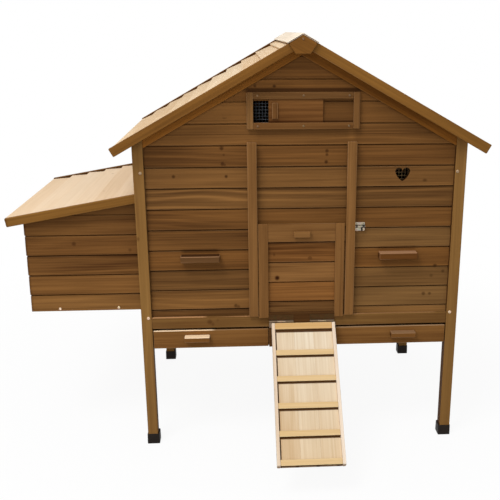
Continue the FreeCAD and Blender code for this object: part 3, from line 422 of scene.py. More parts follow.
def lap(run, plane, outward, courses, start, stop, thick=board_thick, thin=board_thin, joint=wall_foot,
        bent=None):
    """Bevelled boards as bars. Each has its lower and upper edge in courses; its section goes along
    the lower edge, up the face, round a rebate below the upper edge and down the back. The face's
    distance from the back plane falls evenly from thick to thin over one pitch of the boards."""
    courses = np.array(courses, float)
    low, high = courses[:, :1], courses[:, 1:]
    base = joint + board_pitch * np.floor((low - joint) / board_pitch + 1e-6)
    middle = (low + high) / 2 if bent is None else np.clip(bent, low + 4, high - 4)
    shelf = high - rebate_high
    z = np.concatenate([low, low, middle, shelf, shelf, high, high, middle], 1)
    depth = thick - (thick - thin) * (z - base) / board_pitch
    depth[:, [0, 6, 7]] = 0.0
    depth[:, [4, 5]] -= rebate_deep
    out = plane + outward * depth
    ends = [np.broadcast_to(end(z) if callable(end) else end, z.shape) for end in (start, stop)]
    points = [np.stack([e, out, z] if run == "x" else [out, e, z], -1) for e in ends]
    return np.stack(points, 1)


def gable(z):
    """Half the width of the house under the roof boards at a height."""
    return np.clip((roof_height(0.0, deck_depth) - z) / roof_rise, 2.0, -wall_left)


courses = laid(14, wall_top)
timber("front_wall_left_boards", "wall_wood", front_boards,
       lap("x", front_plane, -1, courses[:5], wall_left, door_left), 1.0,
       [0.78, 0.5, 0.62, 0.6, 0.66], [0.6, 0.6, 0.5, 1.0, 0.8], figure=[0.2, 0.3, 0.1, 0.2, 0.3])
timber("front_wall_right_boards", "wall_wood", front_boards,
       lap("x", front_plane, -1, courses[:5], door_right, wall_right), 1.0,
       [0.28, 0.5, 0.5, 0.5, 0.45], [0.3, 0.0, 0.15, 1.0, 0.1], figure=[0.1, 0.2, 0.4, 0.2, 0.1])
high_courses = courses[[5, 6, 8, 9, 10, 10, 11, 12, 13]]
from_x = np.array([wall_left] * 5 + [vent_right] + [wall_left] * 3)[:, None]
to_x = np.array([wall_right] * 4 + [vent_left] + [wall_right] * 4)[:, None]
eave_bend = roof_height(wall_left, deck_depth)
upper_bars = lap("x", front_plane, -1, high_courses, lambda z: np.maximum(-gable(z), from_x),
                 lambda z: np.minimum(gable(z), to_x), bent=eave_bend)
timber("front_wall_upper_boards", "wall_wood", front_boards, upper_bars, 1.0,
       [0.62, 0.66, 0.64, 0.4, 0.18, 0.55, 0.42, 0.58, 0.6],
       [0.9, 0.5, 0.9, 0.75, 0.8, 0.85, 1.0, 1.0, 1.0],
       figure=[0.2, 0.55, 0.2, 0.3, 0.2, 0.2, 0.2, 0.2, 0.2])

# Board with the heart: one board of the front wall with a small heart sawn through it for air,
# two round lobes over bowed sides that meet in a point.
heart_x, heart_point, heart_high, lobe, bow = 310.0, 859.0, 41.0, 11.5, 4.0
lobe_z = heart_point + heart_high - lobe
heart_board = timber("heart_board", "wall_wood", front_boards,
                     lap("x", front_plane, -1, courses[7:8], wall_left, wall_right), 1.0, 0.5, 0.55,
                     figure=0.1)
arc = np.linspace(0, math.pi, 13)
lobes = [np.stack([heart_x + shift + lobe * np.cos(arc), lobe_z + lobe * np.sin(arc)], 1)
         for shift in (lobe, -lobe)]
swell = np.linspace(0, 1, 7)[1:-1, None]
sides = []
for hand in (-1, 1):
    foot, top = np.array([heart_x, heart_point]), np.array([heart_x + hand * 2 * lobe, lobe_z])
    square = np.array([hand * (top - foot)[1], -hand * (top - foot)[0]]) / np.linalg.norm(top - foot)
    sides.append(foot + swell * (top - foot) + 4 * bow * swell * (1 - swell) * square)
outline = np.concatenate([lobes[0], lobes[1][1:], sides[0][::-1], [(heart_x, heart_point)], sides[1]])
saw = np.stack([np.insert(outline, 1, y, 1) for y in (30.0, 0.0)])[None] * MM + house
cutter = skin("heart_saw", front_boards, False, saw)
# The heart's sawn sides are darkened as painted shade.
mark(cutter.data, "wear_light_and_shade", np.full(len(cutter.data.polygons), -1.2))
cut = heart_board.modifiers.new("heart", "BOOLEAN")
cut.object = cutter
cut.solver = "EXACT"
drilled = heart_board.evaluated_get(bpy.context.evaluated_depsgraph_get())
sawn_mesh = bpy.data.meshes.new_from_object(drilled)
heart_board.modifiers.clear()
heart_board.data = sawn_mesh
bpy.data.objects.remove(cutter)

# Back and side walls: the same bevelled boards from post to post. The left wall leaves three
# courses open to the nest box between two short jambs.
wall_finish = wood("cladding", stain(143, 103, 56), stain(70, 44, 20))
chance = np.random.default_rng(7)
back_plane, side_plane, side_top = 716.0, 476.0, 990
jamb_front, jamb_back = 75.0, 665.0


def weathered(count):
    """A tone and a warmth by chance for each of this many boards."""
    return chance.uniform(0.35, 0.7, count), chance.uniform(0.1, 0.8, count)


back_bars = lap("x", back_plane, 1, courses, lambda z: -gable(z), gable, bent=eave_bend)
timber("back_wall_boards", "wall_wood", wall_finish, back_bars, 1.0, *weathered(14))
eave_courses = laid(10, side_top)
timber("right_wall_boards", "wall_wood", wall_finish,
       lap("y", side_plane, 1, eave_courses, bay_front, bay_back), 1.0, *weathered(10))
open_courses = eave_courses[[0, 1, 2, 3, 4, 2, 3, 4, 5, 6, 7, 8, 9]]
left_start = np.array([bay_front] * 5 + [jamb_back] * 3 + [bay_front] * 5)[:, None]
left_stop = np.array([bay_back] * 2 + [jamb_front] * 3 + [bay_back] * 8)[:, None]
timber("left_wall_boards", "wall_wood", wall_finish,
       lap("y", -side_plane, -1, open_courses, left_start, left_stop), 1.0, *weathered(13))

# Doorway: a sill and a head piece that line the opening, and a track of two strips each side of it,
# a spacer on the wall and a wider cover that holds the sliding door in.
door_finish = wood("door_joinery", stain(144, 104, 60), stain(85, 55, 27), contrast=0.8)
liners = boxes((door_left, door_right, 12, front_plane, wall_foot, rail_high),
               (door_left, door_right, 12, front_plane, 693, door_head))
timber("doorway_liners", "wall_wood", wall_finish, liners, 1.0, 0.6, 0.4)
track_low, track_high, bolt_gap = 437, 983, 725
tracks = boxes((-162, -142.5, 0, 12, track_low, track_high), (146.5, 166, 0, 12, track_low, door_head),
               (146.5, 166, 0, 12, bolt_gap, track_high), (-162, -133.5, -10, 0, track_low, track_high),
               (137.5, 166, -10, 0, track_low, track_high))
# The side shares darken one side of each track cover and door stile as painted shade.
unshaded, shaded_left, shaded_right = [0.0] * 4, [0.0, 0.0, 0.0, 0.9], [0.0, 0.9, 0.0, 0.0]
timber("door_tracks", "door_wood", door_finish, tracks, 1.8, [0.5, 0.5, 0.5, 0.44, 0.4], 0.25,
       shade_by_side=[unshaded] * 3 + [shaded_right, shaded_left])

# Pop door: bevelled boards that run in the tracks, held by two stiles and a top rail, with a short
# wooden pull glued to the rail. It lifts by hand.
door_knots = [(-74, 561, 5.4, 1.0), (-83, 637, 4.0, 0.35), (28, 623, 4.4, 0.45)]
# Painted shade along the vent panel's lower edge.
panel_shade = [(20, 1040, 120, 3.0, 0.6)]
door_panel = wood("door_boards", stain(147, 105, 60), stain(79, 49, 22), door_knots, panel_shade)
door_courses = [(448, 485), (485, 549), (549, 613), (613, 677), (677, 717)]
timber("door_boards", "door_wood", door_panel,
       lap("x", 11.5, -1, door_courses, -141.5, 145.5, thick=10.0, thin=7.0, joint=421.0), 1.0,
       [0.75, 0.36, 0.44, 0.58, 0.5], [0.0, 0.8, 0.2, 0.8, 0.4], "pop_door")
frame_low, frame_high, rail_foot = 432, 735.5, 678.5
door_frame = boxes((-131.5, -101.5, -8.5, 1.5, frame_low, frame_high),
                   (105.5, 133.5, -8.5, 1.5, frame_low, frame_high),
                   (-101.5, 105.5, -8.5, 1.5, rail_foot, frame_high))
timber("door_frame", "door_wood", door_finish, door_frame, 1.6, [0.6, 0.48, 0.5], 0.3, "pop_door",
       shade_by_side=[shaded_left, shaded_right, unshaded])
pull = boxes((-24, 28, -24.5, -8.5, 695.5, 713.5))
timber("door_pull", "door_wood", door_finish, pull, 2.5, 0.4, 0.2, "pop_door")

# Barrel bolt beside the door: a pressed zinc plate with two bent staples and four screws, and the
# round rod that slides in them, moved by a knob that hangs from it.


def metal(name, dark, bright, rough):
    """Plated steel: two greys mixed by smeared noise, with fine crystals of the plating over them."""
    made, tree, where = blank(name)
    flake = add(tree, "TexVoronoi", {"Vector": where, "Scale": 260.0}).outputs["Color"]
    smear = noise(tree, where, 90.0, 4.0)
    grey = mix(tree, 0.12, mix(tree, smear, dark, bright), flake, "OVERLAY")
    relief = add(tree, "Bump", {"Strength": 0.15, "Distance": 0.0002, "Height": smear}).outputs[0]
    rough = sums(tree, "MULTIPLY_ADD", smear, 0.25, rough - 0.12)
    dress(tree, {"Base Color": grey, "Metallic": 1.0, "Roughness": rough, "Normal": relief})
    return made


zinc = metal("zinc_plated_steel", stain(138, 126, 112), stain(192, 178, 160), 0.4)


def rods(starts, stops, radius, sides=12, tip=0.3):
    """Round bars with eased ends as rings: a circle square to each bar, at the ends drawn in."""
    starts, stops = np.array(starts, float), np.array(stops, float)
    way = stops - starts
    length = np.linalg.norm(way, axis=1, keepdims=True)
    way = way / length
    aside = np.cross(np.where(np.abs(way[:, 2:]) > 0.9, [[0.0, 1.0, 0.0]], [[0.0, 0.0, 1.0]]), way)
    aside = aside / np.linalg.norm(aside, axis=1, keepdims=True)
    upward = np.cross(way, aside)
    angle = np.linspace(0, 2 * math.pi, sides, endpoint=False)
    circle = np.cos(angle)[:, None] * aside[:, None] + np.sin(angle)[:, None] * upward[:, None]
    ease = radius * tip
    places = np.stack([np.zeros_like(length), np.full_like(length, ease), length - ease, length], 1)
    widths = np.array([radius - ease, radius, radius, radius - ease])[None, :, None, None]
    return starts[:, None, None] + places[..., None] * way[:, None, None] + widths * circle[:, None]


def plate(x, z, half_x, half_z, back, face, radius):
    """A flat plate that looks to the front, with rounded corners and eased edges, as rings."""
    depths = np.array([(back, 0.4), (back - 0.4, 0.0), (face + 0.4, 0.0), (face, 0.4)])
    rings = []
    for y, inset in depths:
        ring = rounded_square(half_x - inset, half_z - inset, radius)
        rings.append(np.stack([x + ring[:, 0], np.full(len(ring), y), z + ring[:, 1]], 1))
    return np.stack(rings)[None]


def screw_heads(places, radius, height, lean=0.0):
    """Domed heads with a cross recess: over a polar grid, the height is a flattened bowl that falls
    to the rim, less the depth of a cross of two short slots; the face leans back by lean."""
    angle = np.linspace(0, 2 * math.pi, 48, endpoint=False)
    reach = np.concatenate([[1.0], np.linspace(1.0, 0.02, 18)])
    a, b = reach[:, None] * np.cos(angle), reach[:, None] * np.sin(angle)
    dome = height * np.sqrt(np.maximum(1 - 0.92 * reach[:, None] ** 4, 0.0)) + 0 * a
    slot = np.maximum((np.abs(a) < 0.11) & (np.abs(b) < 0.55), (np.abs(b) < 0.11) & (np.abs(a) < 0.55))
    rise = dome - 0.55 * height * slot
    rise[0] = -0.3
    head = np.stack([radius * a, -rise, radius * b], -1)
    head[..., 1] += lean * head[..., 2]
    return np.array(places, float)[:, None, None] + head


bolt_x, bolt_y, bolt_z, bolt_seat = 183.0, 6.2, 721.0, 10.4
arch = np.linspace(-math.pi / 2, math.pi / 2, 15)


def bowed(radius):
    """A strip's line in y and z: straight out from the plate, half round the rod and back."""
    y = np.concatenate([[bolt_seat], bolt_y - radius * np.cos(arch), [bolt_seat]])
    z = np.concatenate([[bolt_z - radius], bolt_z + radius * np.sin(arch), [bolt_z + radius]])
    return np.stack([y, z], 1)


inner, outer = bowed(3.25), bowed(4.4)
staples = []
for x0, x1 in ((169.0, 175.0), (191.0, 197.0)):
    lines = ((x0, inner), (x1, inner), (x1, outer), (x0, outer))
    staples.append(np.stack([np.insert(line, 0, x, 1) for x, line in lines], 1))
plate_screws = [(bolt_x + a, bolt_seat, z) for a in (-10.5, 10.5) for z in (710.0, 729.4)]
fitting("bolt_plate_metal", zinc, "bolt_plate", "zinc_steel",
        plate(bolt_x, 719.6, 15.0, 13.6, 12.0, 10.5, 2.5), screw_heads(plate_screws, 2.0, 0.8),
        smooth=False)
# The staples and knob take a dark copy of the zinc, painted shade.
dark_zinc = metal("shaded_zinc_steel", stain(44, 40, 36), stain(84, 79, 72), 0.35)
fitting("bolt_staples_metal", dark_zinc, "bolt_plate", "zinc_steel", np.stack(staples), smooth=False)
rod = rods([(147.0, bolt_y, bolt_z)], [(199.0, bolt_y, bolt_z)], 3.0, 24)
fitting("bolt_rod_metal", zinc, "bolt_rod", "zinc_steel", rod, body="door_bolt")
knob = rods([(188.45, bolt_y, 720.0)], [(188.45, bolt_y, 707.5)], 2.5, 24)
fitting("bolt_knob_metal", dark_zinc, "bolt_rod", "zinc_steel", knob, body="door_bolt")

# Wall grips: two short blocks of planed wood, screwed from inside to the front boards at hand height.
# Their backs are planed to the boards' bevel.
# On the grips, the left top face is darkened as painted shade and the front top edges painted pale as
# highlights.
grip_light_and_shade = [(-310, 639.6, 80, 1.1, 0.7), (-310, 637.2, 80, 0.8, -0.4), (303, 639.4, 80, 1.4, -0.5)]
grip_finish = wood("grip_timber", stain(124, 88, 54), stain(74, 47, 23), (), grip_light_and_shade, 0.7, worn=0.3,
                   bare=stain(206, 160, 122), hue=(1.0, 0.8, 0.5, 1.0))
grip_front, grip_low, grip_high, grip_half = -15.0, 618.0, 639.0, 60.0
held_board = wall_foot + 3 * board_pitch
seat_low, seat_high = (front_plane - board_thick + bevel * (z - held_board)
                       for z in (grip_low, grip_high))
grip_section = np.array([(grip_front, grip_low), (seat_low, grip_low), (seat_high, grip_high),
                         (grip_front, grip_high)])
grips = [[np.insert(grip_section, 0, x + half, 1) for half in (-grip_half, grip_half)]
         for x in (-310.0, 303.0)]
timber("wall_grips", "door_wood", grip_finish, grips, 2.5, [0.55, 0.62], [0.0, 1.0])

# Vent: a frame of strips, spacers under wider covers, in which a thin panel slides sideways over the
# opening; a narrow strip on the panel is its grip.
vent = []
vent_low, vent_high, vent_end = 1019, 1126, 154
for y0, y1, rail in ((0, 6, 19), (6, 12, 10)):
    vent += [(-161, vent_left, y0, y1, vent_low, vent_high),
             (vent_end, 173, y0, y1, vent_low, vent_high),
             (vent_left, vent_end, y0, y1, vent_low, vent_low + rail),
             (vent_left, vent_end, y0, y1, vent_high - rail, vent_high)]
timber("vent_frame", "door_wood", door_finish, boxes(*vent), 1.4,
       [0.55, 0.6, 0.72, 0.72, 0.6, 0.6, 0.6, 0.6], [0.0, 0.2, 0.4, 0.0, 0.3, 0.3, 0.3, 0.3])
panel = boxes((-96.4, 64.6, 6.3, 11.7, 1029.3, 1115.7))
timber("vent_panel", "door_wood", door_panel, panel, 0.8, 0.88, 0.65, "vent_slide")
panel_grip = boxes((-86.4, -69.4, 0, 6.3, 1049, 1096))
timber("vent_panel_grip", "door_wood", door_finish, panel_grip, 1.6, 0.72, 0.4, "vent_slide")

# Wire mesh: squares of thin welded wire, coated dark at the vent and bare at the heart, stapled
# behind both openings to keep vermin out.
wire, tree, where = blank("dark_coated_wire")
patch = noise(tree, where, 220.0, 3.0)
colour = mix(tree, patch, stain(48, 51, 55), stain(92, 94, 97))
rough = sums(tree, "MULTIPLY_ADD", patch, 0.3, 0.3)
dress(tree, {"Base Color": colour, "Metallic": 0.6, "Roughness": rough})
bare_wire = metal("bare_heart_wire", stain(66, 50, 32), stain(116, 96, 68), 0.5)
wire_pitch, wire_edge, upright_y, level_y = 9.5, 0.7, 25.2, 24.7


def spaced(low, high):
    """Places of wires between two edges, as near to their pitch as even steps allow."""
    steps = round((high - low - 2 * wire_edge) / wire_pitch)
    return np.linspace(low + wire_edge, high - wire_edge, steps + 1)


for name, coat, thick, (x0, x1, z0, z1) in (("vent_wires", wire, 0.6, (-152, 17, 1027, 1111)),
                                            ("heart_wires", bare_wire, 0.7, (281, 339, 853, 906))):
    columns, rows = spaced(x0, x1), spaced(z0, z1)
    starts = [(x, upright_y, z0) for x in columns] + [(x0, level_y, z) for z in rows]
    stops = [(x, upright_y, z1) for x in columns] + [(x1, level_y, z) for z in rows]
    fitting(name, coat, "wire_meshes", "mesh_wire", rods(starts, stops, thick, 8))

# Gable rafters: planed strips that trim the front and back walls under the roof boards, mitred at
# the ridge.
rafters = []
rafter_foot, strip = 50.0, 12
for y in (0.0, 728.0):
    for x in (wall_left, wall_right):
        ends = []
        for at in (x, 0.0):
            top, low = roof_height(at, deck_depth), roof_height(at, rafter_foot)
            ends.append([(at, y, top), (at, y + strip, top), (at, y + strip, low), (at, y, low)])
        rafters.append(ends)
rafter_finish = wood("rafter_timber", stain(143, 96, 40), stain(70, 40, 11))
# The front left rafter is painted paler than the others, as painted light where the eave shades it.
timber("gable_rafters", "frame_wood", rafter_finish, rafters, 1.6, [0.05, 0.42, 0.4, 0.4], 0.7)

# Roof: lapped boards up each slope, thick at the lower edge, painted pale as lit from above, between
# barge boards that close the gable ends.
roof_finish = wood("lit_roof_boards", stain(239, 217, 185), stain(198, 166, 126), contrast=0.6,
                   sheen=0.7)
eave, deck_count = 557.0, 10
lap_top, lap_foot = 3.0, 10.0
verge_front, verge_back = -34.0, 774.0


def slope(side, up, below, y):
    """A point on a roof slope: up it from the eave's tip, and below its top line."""
    x = eave - up * roof_cos - below * roof_sin
    z = ridge - roof_rise * eave + up * roof_sin - below * roof_cos
    return np.stack(np.broadcast_arrays(side * x, y, z), -1)


deck_pitch = (eave / roof_cos - deck_depth * roof_rise) / deck_count
low_edge = np.arange(deck_count)[:, None, None] * deck_pitch
deck_up = low_edge + np.array([0.0, deck_pitch, deck_pitch, 0.0])
deck_below = np.array([lap_top, lap_foot, deck_depth, deck_depth])
deck_ends = np.array([verge_front, verge_back])[:, None]
for side, name in ((-1, "left_roof_boards"), (1, "right_roof_boards")):
    timber(name, "roof_wood", roof_finish, slope(side, deck_up, deck_below, deck_ends), 1.2,
           chance.uniform(0.35, 0.65, deck_count), chance.uniform(0.0, 0.4, deck_count))
barges = []
for side, y, tip, tail_top, head_top, foot in (
        (-1, verge_front - strip, -3.6, 0.0, 1.4, 27.2),
        (1, verge_front - strip, -3.6, -2.4, -0.6, 27.2),
        (-1, verge_back, 0.0, 0.0, 0.0, 25.0), (1, verge_back, 0.0, 0.0, 0.0, 25.0)):
    widths = np.array([y, y + strip, y + strip, y])
    tail = slope(side, tip, np.array([tail_top, tail_top, foot, foot]), widths)
    drop = np.array([head_top, head_top, foot, foot])
    barges.append(np.stack([tail, np.stack([np.zeros(4), widths, roof_height(0.0, drop)], 1)]))
rim_tip = [(-895, 752, 4.0, 24, 0.85)]
barge_finish = wood("barge_timber", stain(140, 97, 44), stain(62, 36, 12), (), rim_tip, 0.6)
# The back barges' and the lid's back rim's top and inner faces are darkened as painted shade.
back_edge_shade = [0.75, 0.0, 0.0, 0.9]
timber("barge_boards", "frame_wood", barge_finish, barges, 1.6, [0.42, 0.34, 0.4, 0.4],
       [0.3, 0.05, 0.4, 0.4], shade_by_side=[unshaded] * 2 + [back_edge_shade] * 2)

# Ridge cap and finials: two thin boards nailed along the ridge, and at each gable a plate with
# cut shoulders that covers their ends.
cap = []
cap_wide, cap_thick = 49.0, 4.0
cap_out, cap_low = cap_wide * roof_cos, ridge - cap_wide * roof_sin
for side in (-1, 1):
    near = np.array([(0.0, ridge), (side * cap_out, cap_low),
                     (side * (cap_out + cap_thick * roof_sin), cap_low + cap_thick * roof_cos),
                     (0.0, roof_height(0.0, -cap_thick))])
    cap.append([np.insert(near, 1, y, 1) for y in (-58.0, 798.0)])
# The ridge boards are painted pale as lit from above, and their ends darkened beyond end grain as
# painted shade.
cap_finish = wood("lit_ridge_boards", stain(242, 226, 204), stain(158, 128, 96), contrast=0.4,
                  sheen=0.7)
timber("ridge_cap", "frame_wood", cap_finish, cap, 1.2, [0.12, 0.2], 0.0, end_grain_and_shade=1.9)
finial_half, finial_foot = 38.0, ridge - 53
shoulder = ridge - finial_half * roof_rise
finial = np.array([(0.0, ridge), (finial_half, shoulder), (finial_half, shoulder - 8),
                   (21.0, finial_foot), (-21.0, finial_foot), (-finial_half, shoulder - 8),
                   (-finial_half, shoulder)])
plates = [[np.insert(finial, 1, y + back, 1) for back in (0.0, 10.0)] for y in (-56.0, 786.0)]
timber("gable_finials", "frame_wood", barge_finish, plates, 1.6, 0.4, 0.5, end_grain_and_shade=0.0)

# Nest box: bevelled boards round a floor and a divider, hung on the left wall. The walls' top edges
# are sawn to the lid's slope, and a rail on the wall carries the lid's hinges.
lid_slope = math.radians(10)
lid_rise, lid_cos, lid_sin = math.tan(lid_slope), math.cos(lid_slope), math.sin(lid_slope)
lid_wall, lid_top, lid_depth = -500, 828.2, 18.0


def lid_height(x, below):
    """Height of the plane this far below the lid's top line, measured square to its slope."""
    return lid_top + lid_rise * (x - lid_wall) - below / lid_cos


nest_tip, nest_end, nest_root, nest_foot, nest_joint = -848.6, -836.6, -488.0, 447, 439.0
nest_front, nest_back = 69.0, 671.0
nest_knots = [(-701, 666, 4.8, 0.5), (-530, 644, 4.0, 0.35)]
nest_edge = [(nest_tip, 625, 1.0, 200, 0.85)]
nest_finish = wood("nest_cladding", stain(141, 101, 56), stain(70, 43, 20), nest_knots, nest_edge)
last_board = 759
nest_courses = [(nest_foot, 503), (503, 567), (567, 631), (631, 695), (695, last_board),
                (last_board, 812)]
under_lid = lid_wall + (last_board + lid_depth / lid_cos - lid_top) / lid_rise
nest_bars = []
for plane, outward in ((nest_front, -1), (nest_back, 1)):
    for low, high in nest_courses:
        first = nest_tip if low < last_board else under_lid + 6
        section = lap("x", plane, outward, [(low, high)], 0.0, 0.0, joint=nest_joint)[0, 0]
        stops_at = np.array([first, max(first + 3, min(under_lid, nest_root)), nest_root])
        bar = np.repeat(section[None], 3, 0)
        bar[..., 0] = stops_at[:, None]
        sawn = lid_height(bar[..., 0], lid_depth) - 0.001 * (8 - np.arange(8))
        bar[..., 2] = np.minimum(bar[..., 2], sawn)
        nest_bars.append(bar)
timber("nest_side_boards", "wall_wood", nest_finish, nest_bars, 1.0,
       [0.34, 0.42, 0.6, 0.62, 0.6, 0.66] * 2, [0.3, 0.5, 0.5, 0.6, 0.5, 0.5] * 2)
end_courses = [(low, min(high, 748.5)) for low, high in nest_courses[:5]]
timber("nest_end_boards", "wall_wood", wall_finish,
       lap("y", nest_end, -1, end_courses, nest_front, nest_back, joint=nest_joint), 1.0,
       [0.4, 0.5, 0.6, 0.5, 0.6], 0.4)
base_finish = wood("rough_base_timber", stain(155, 114, 70), stain(92, 60, 32), sheen=0.7)


def plain(node, *rows, edge=1.0, tone=0.5):
    """Square-edged pieces of the rough timber, each row as boxes takes it."""
    timber(node, "base_wood", base_finish, boxes(*rows), edge, tone, 0.3)


floor_top, divider_top = 462, lid_height(nest_end, lid_depth) - 16
plain("nest_floor", (nest_end, nest_root, nest_front, nest_back, nest_foot, floor_top))
plain("nest_divider", (nest_end, nest_root, 365, 375, floor_top, divider_top))
lid_front, lid_back = 36.0, 704.0
hinge_low = lid_height(nest_root, lid_depth) + 4
hinge_rail = boxes((lid_wall, nest_root, lid_front, lid_back, hinge_low, hinge_low + 38))
timber("nest_hinge_rail", "roof_wood", roof_finish, hinge_rail, 1.2, 0.55, 0.4)

# Nest lid: lapped boards painted pale like the roof, as lit from above, between two rims, the last one
# flat under the hinges. It opens upwards to reach the eggs.
lid_reach, lid_run, lid_count, lid_over = 389, 388, 6, -6.0


def lid(out, below, y):
    """A point on the lid: up it from its outer tip, and below its top line, plumb at the wall."""
    up = np.minimum(out, (lid_run - below * lid_sin) / lid_cos)
    x = lid_wall - lid_reach + up * lid_cos + below * lid_sin
    z = lid_top - lid_rise * lid_reach + up * lid_sin - below * lid_cos
    return np.stack(np.broadcast_arrays(x, y, z), -1)


lid_pitch = lid_run / lid_cos / lid_count
lid_up = np.arange(lid_count)[:, None, None] * lid_pitch + np.array([0.0, lid_pitch, lid_pitch, 0.0])
lid_up[0, 0, [0, 3]] = lid_over
lid_below = np.full((lid_count, 1, 4), lid_depth)
lid_below[:, 0, 0] = lap_top
lid_below[:, 0, 1] = [lap_foot] * 5 + [lap_top]
lid_finish = wood("lit_lid_boards", stain(242, 221, 195), stain(214, 186, 149), contrast=0.5,
                  sheen=0.7, worn=0.1)
timber("lid_boards", "roof_wood", lid_finish,
       lid(lid_up, lid_below, np.array([lid_front, lid_back])[:, None]), 1.2,
       [0.5, 0.4, 0.45, 0.4, 0.5, 0.45], [0.3, 0.2, 0.1, 0.2, 0.3, 0.2], "nest_lid")
rims = []
for y, top, foot in ((lid_front - strip, 2.4, 29.4), (lid_back, 0.0, 25.0)):
    widths = np.array([y, y + strip, y + strip, y])
    below = np.array([top, top, foot, foot])
    rims.append(np.stack([lid(out, below, widths) for out in (lid_over, 400.0)]))
timber("lid_rims", "roof_wood", barge_finish, rims, 1.6, [0.28, 0.4], 0.0, "nest_lid",
       shade_by_side=[unshaded, back_edge_shade])

# Base: the apron that carries the ramp, partitions and a strip of floor behind it, boards that close
# the tray bay, and the runners that the trays slide on.
apron_left, apron_right, apron_back = -101, 105, 2
bay_foot, tray_foot, floor_foot = 318, 336, 381
apron = boxes((apron_left, apron_right, -10, 1.2, tray_foot, 449.5))
timber("centre_apron", "base_wood", front_boards, apron, 1.0, 0.85, 0.6)
plain("centre_partitions", (apron_left, -89, apron_back, back_plane, tray_foot, floor_foot),
      (93, apron_right, apron_back, back_plane, tray_foot, floor_foot))
plain("centre_floor_board", (apron_left, apron_right, apron_back, back_plane, floor_foot, 393))
plain("tray_bay_boards", (-488, -side_plane, bay_front, bay_back, bay_foot, wall_foot),
      (side_plane, 488, bay_front, bay_back, bay_foot, wall_foot),
      (-465, 465, back_plane, 728, bay_foot, wall_foot), edge=1.2, tone=[0.5, 0.55, 0.5])
plain("tray_runners", (-side_plane, -446, 50, bay_back, bay_foot, tray_foot),
      (-131, -89, 50, back_plane, bay_foot, tray_foot),
      (93, 135, 50, back_plane, bay_foot, tray_foot),
      (446, side_plane, 50, bay_back, bay_foot, tray_foot), edge=1.2)

# Trays: shallow boxes of thin boards with a planed front and a short wooden handle. They slide out
# to the front for cleaning.
# The trays' front top edges and the handles' tops are painted pale as highlights, most on the left.
worn_and_lit_wood = stain(250, 220, 182)
lit_tray_edges = [(-372, 393, 96, 2.0, -1.0), (290, 393, 190, 2.0, -0.18)]
tray_finish = wood("tray_joinery", stain(153, 111, 62), stain(90, 57, 26), (), lit_tray_edges, 0.8,
                   worn=0.25, bare=worn_and_lit_wood)
lit_handle_tops = [(-327.5, 378, 60, 2.0, -0.95), (327.5, 378, 60, 2.0, -0.12)]
handle_finish = wood("tray_handle_timber", stain(143, 101, 54), stain(88, 55, 25), (), lit_handle_tops, 0.5,
                     worn=0.1, bare=worn_and_lit_wood)
tray_front, tray_back, tray_floor, tray_top = 12, 714, 342, 386
for side, x0, x1, front_x0, front_x1, middle, shade in (
        ("left", -463, -105, -465.4, -102.4, -327.5, 0.58), ("right", 109, 463, 109, 466, 327.5, 0.62)):
    body = side + "_tray"
    tray = boxes((x0, x1, tray_front, tray_back, tray_foot, tray_floor),
                 (x0, x0 + 10, tray_front, tray_back, tray_floor, tray_top),
                 (x1 - 10, x1, tray_front, tray_back, tray_floor, tray_top),
                 (x0 + 10, x1 - 10, tray_back - 10, tray_back, tray_floor, tray_top))
    timber(side + "_tray_box", "tray_wood", tray_finish, tray, 1.0, 0.5, 0.2, body)
    face = boxes((front_x0, front_x1, 2, tray_front, 333.4, 393))
    timber(side + "_tray_front", "tray_wood", tray_finish, face, 1.6, shade, 0.4, body)
    handle = boxes((middle - 40, middle + 40, -25, 2, 361, 378))
    timber(side + "_tray_handle", "tray_wood", handle_finish, handle, 2.5, shade, 0.5, body)

# Perches: two bars with rounded tops, planed from the rough timber of the base. They run across the
# house from front to back and rest on blocks at both walls.
perch_seat, perch_places = 560, (210.0, 360.0)
angle = np.linspace(0, math.pi / 2, 5)
crown = np.concatenate([
    [(18.0, 0.0)], np.stack([10 + 8 * np.cos(angle), 20 + 8 * np.sin(angle)], 1),
    np.stack([-10 - 8 * np.sin(angle), 20 + 8 * np.cos(angle)], 1), [(-18.0, 0.0)]])
bars = [[np.insert(crown + (x, perch_seat), 1, y, 1) for y in (26.0, 714.0)] for x in perch_places]
timber("perches", "base_wood", base_finish, bars, 0.6, 0.45, 0.2)
blocks = [(x - 18, x + 18, y, y + 20, 530, perch_seat) for x in perch_places for y in (24, 696)]
plain("perch_bearers", *blocks, edge=1.2)

# Ramp: three lengthwise deck boards between side rails, with cleats across for the hens' feet, in paler
# wood painted paler still as lit from above. Its head is sawn plumb to bear on the apron, and it folds
# up on two hinges.
ramp_slope = math.radians(43)
ramp_cos, ramp_sin = math.cos(ramp_slope), math.sin(ramp_slope)
pin_y, pin_z, ramp_head, ramp_end = -13.7, 422.0, 3.8, 462.0
deck_top, cleat_pitch, first_step = -9.0, 86.5, 13.7
ramp_finish = wood("pale_ramp_timber", stain(236, 221, 203), stain(208, 182, 153), contrast=0.8,
                   sheen=0.65, worn=0.2)
cleat_shadow_brown = stain(68, 36, 1)
cleat_finish = wood("pale_cleat_timber", stain(232, 207, 164), stain(202, 167, 114), contrast=0.7,
                    sheen=0.65, worn=0.3, dark=cleat_shadow_brown)


def ramp(x, down, above):
    """A point on the ramp: down it from the hinge pin, and above its rails' top line; its head
    stays in front of the plumb face at the apron."""
    down = np.maximum(down, (-1.9 - above * ramp_sin) / ramp_cos)
    y = pin_y - down * ramp_cos - above * ramp_sin
    z = pin_z - down * ramp_sin + above * ramp_cos
    return np.stack(np.broadcast_arrays(x, y, z), -1)


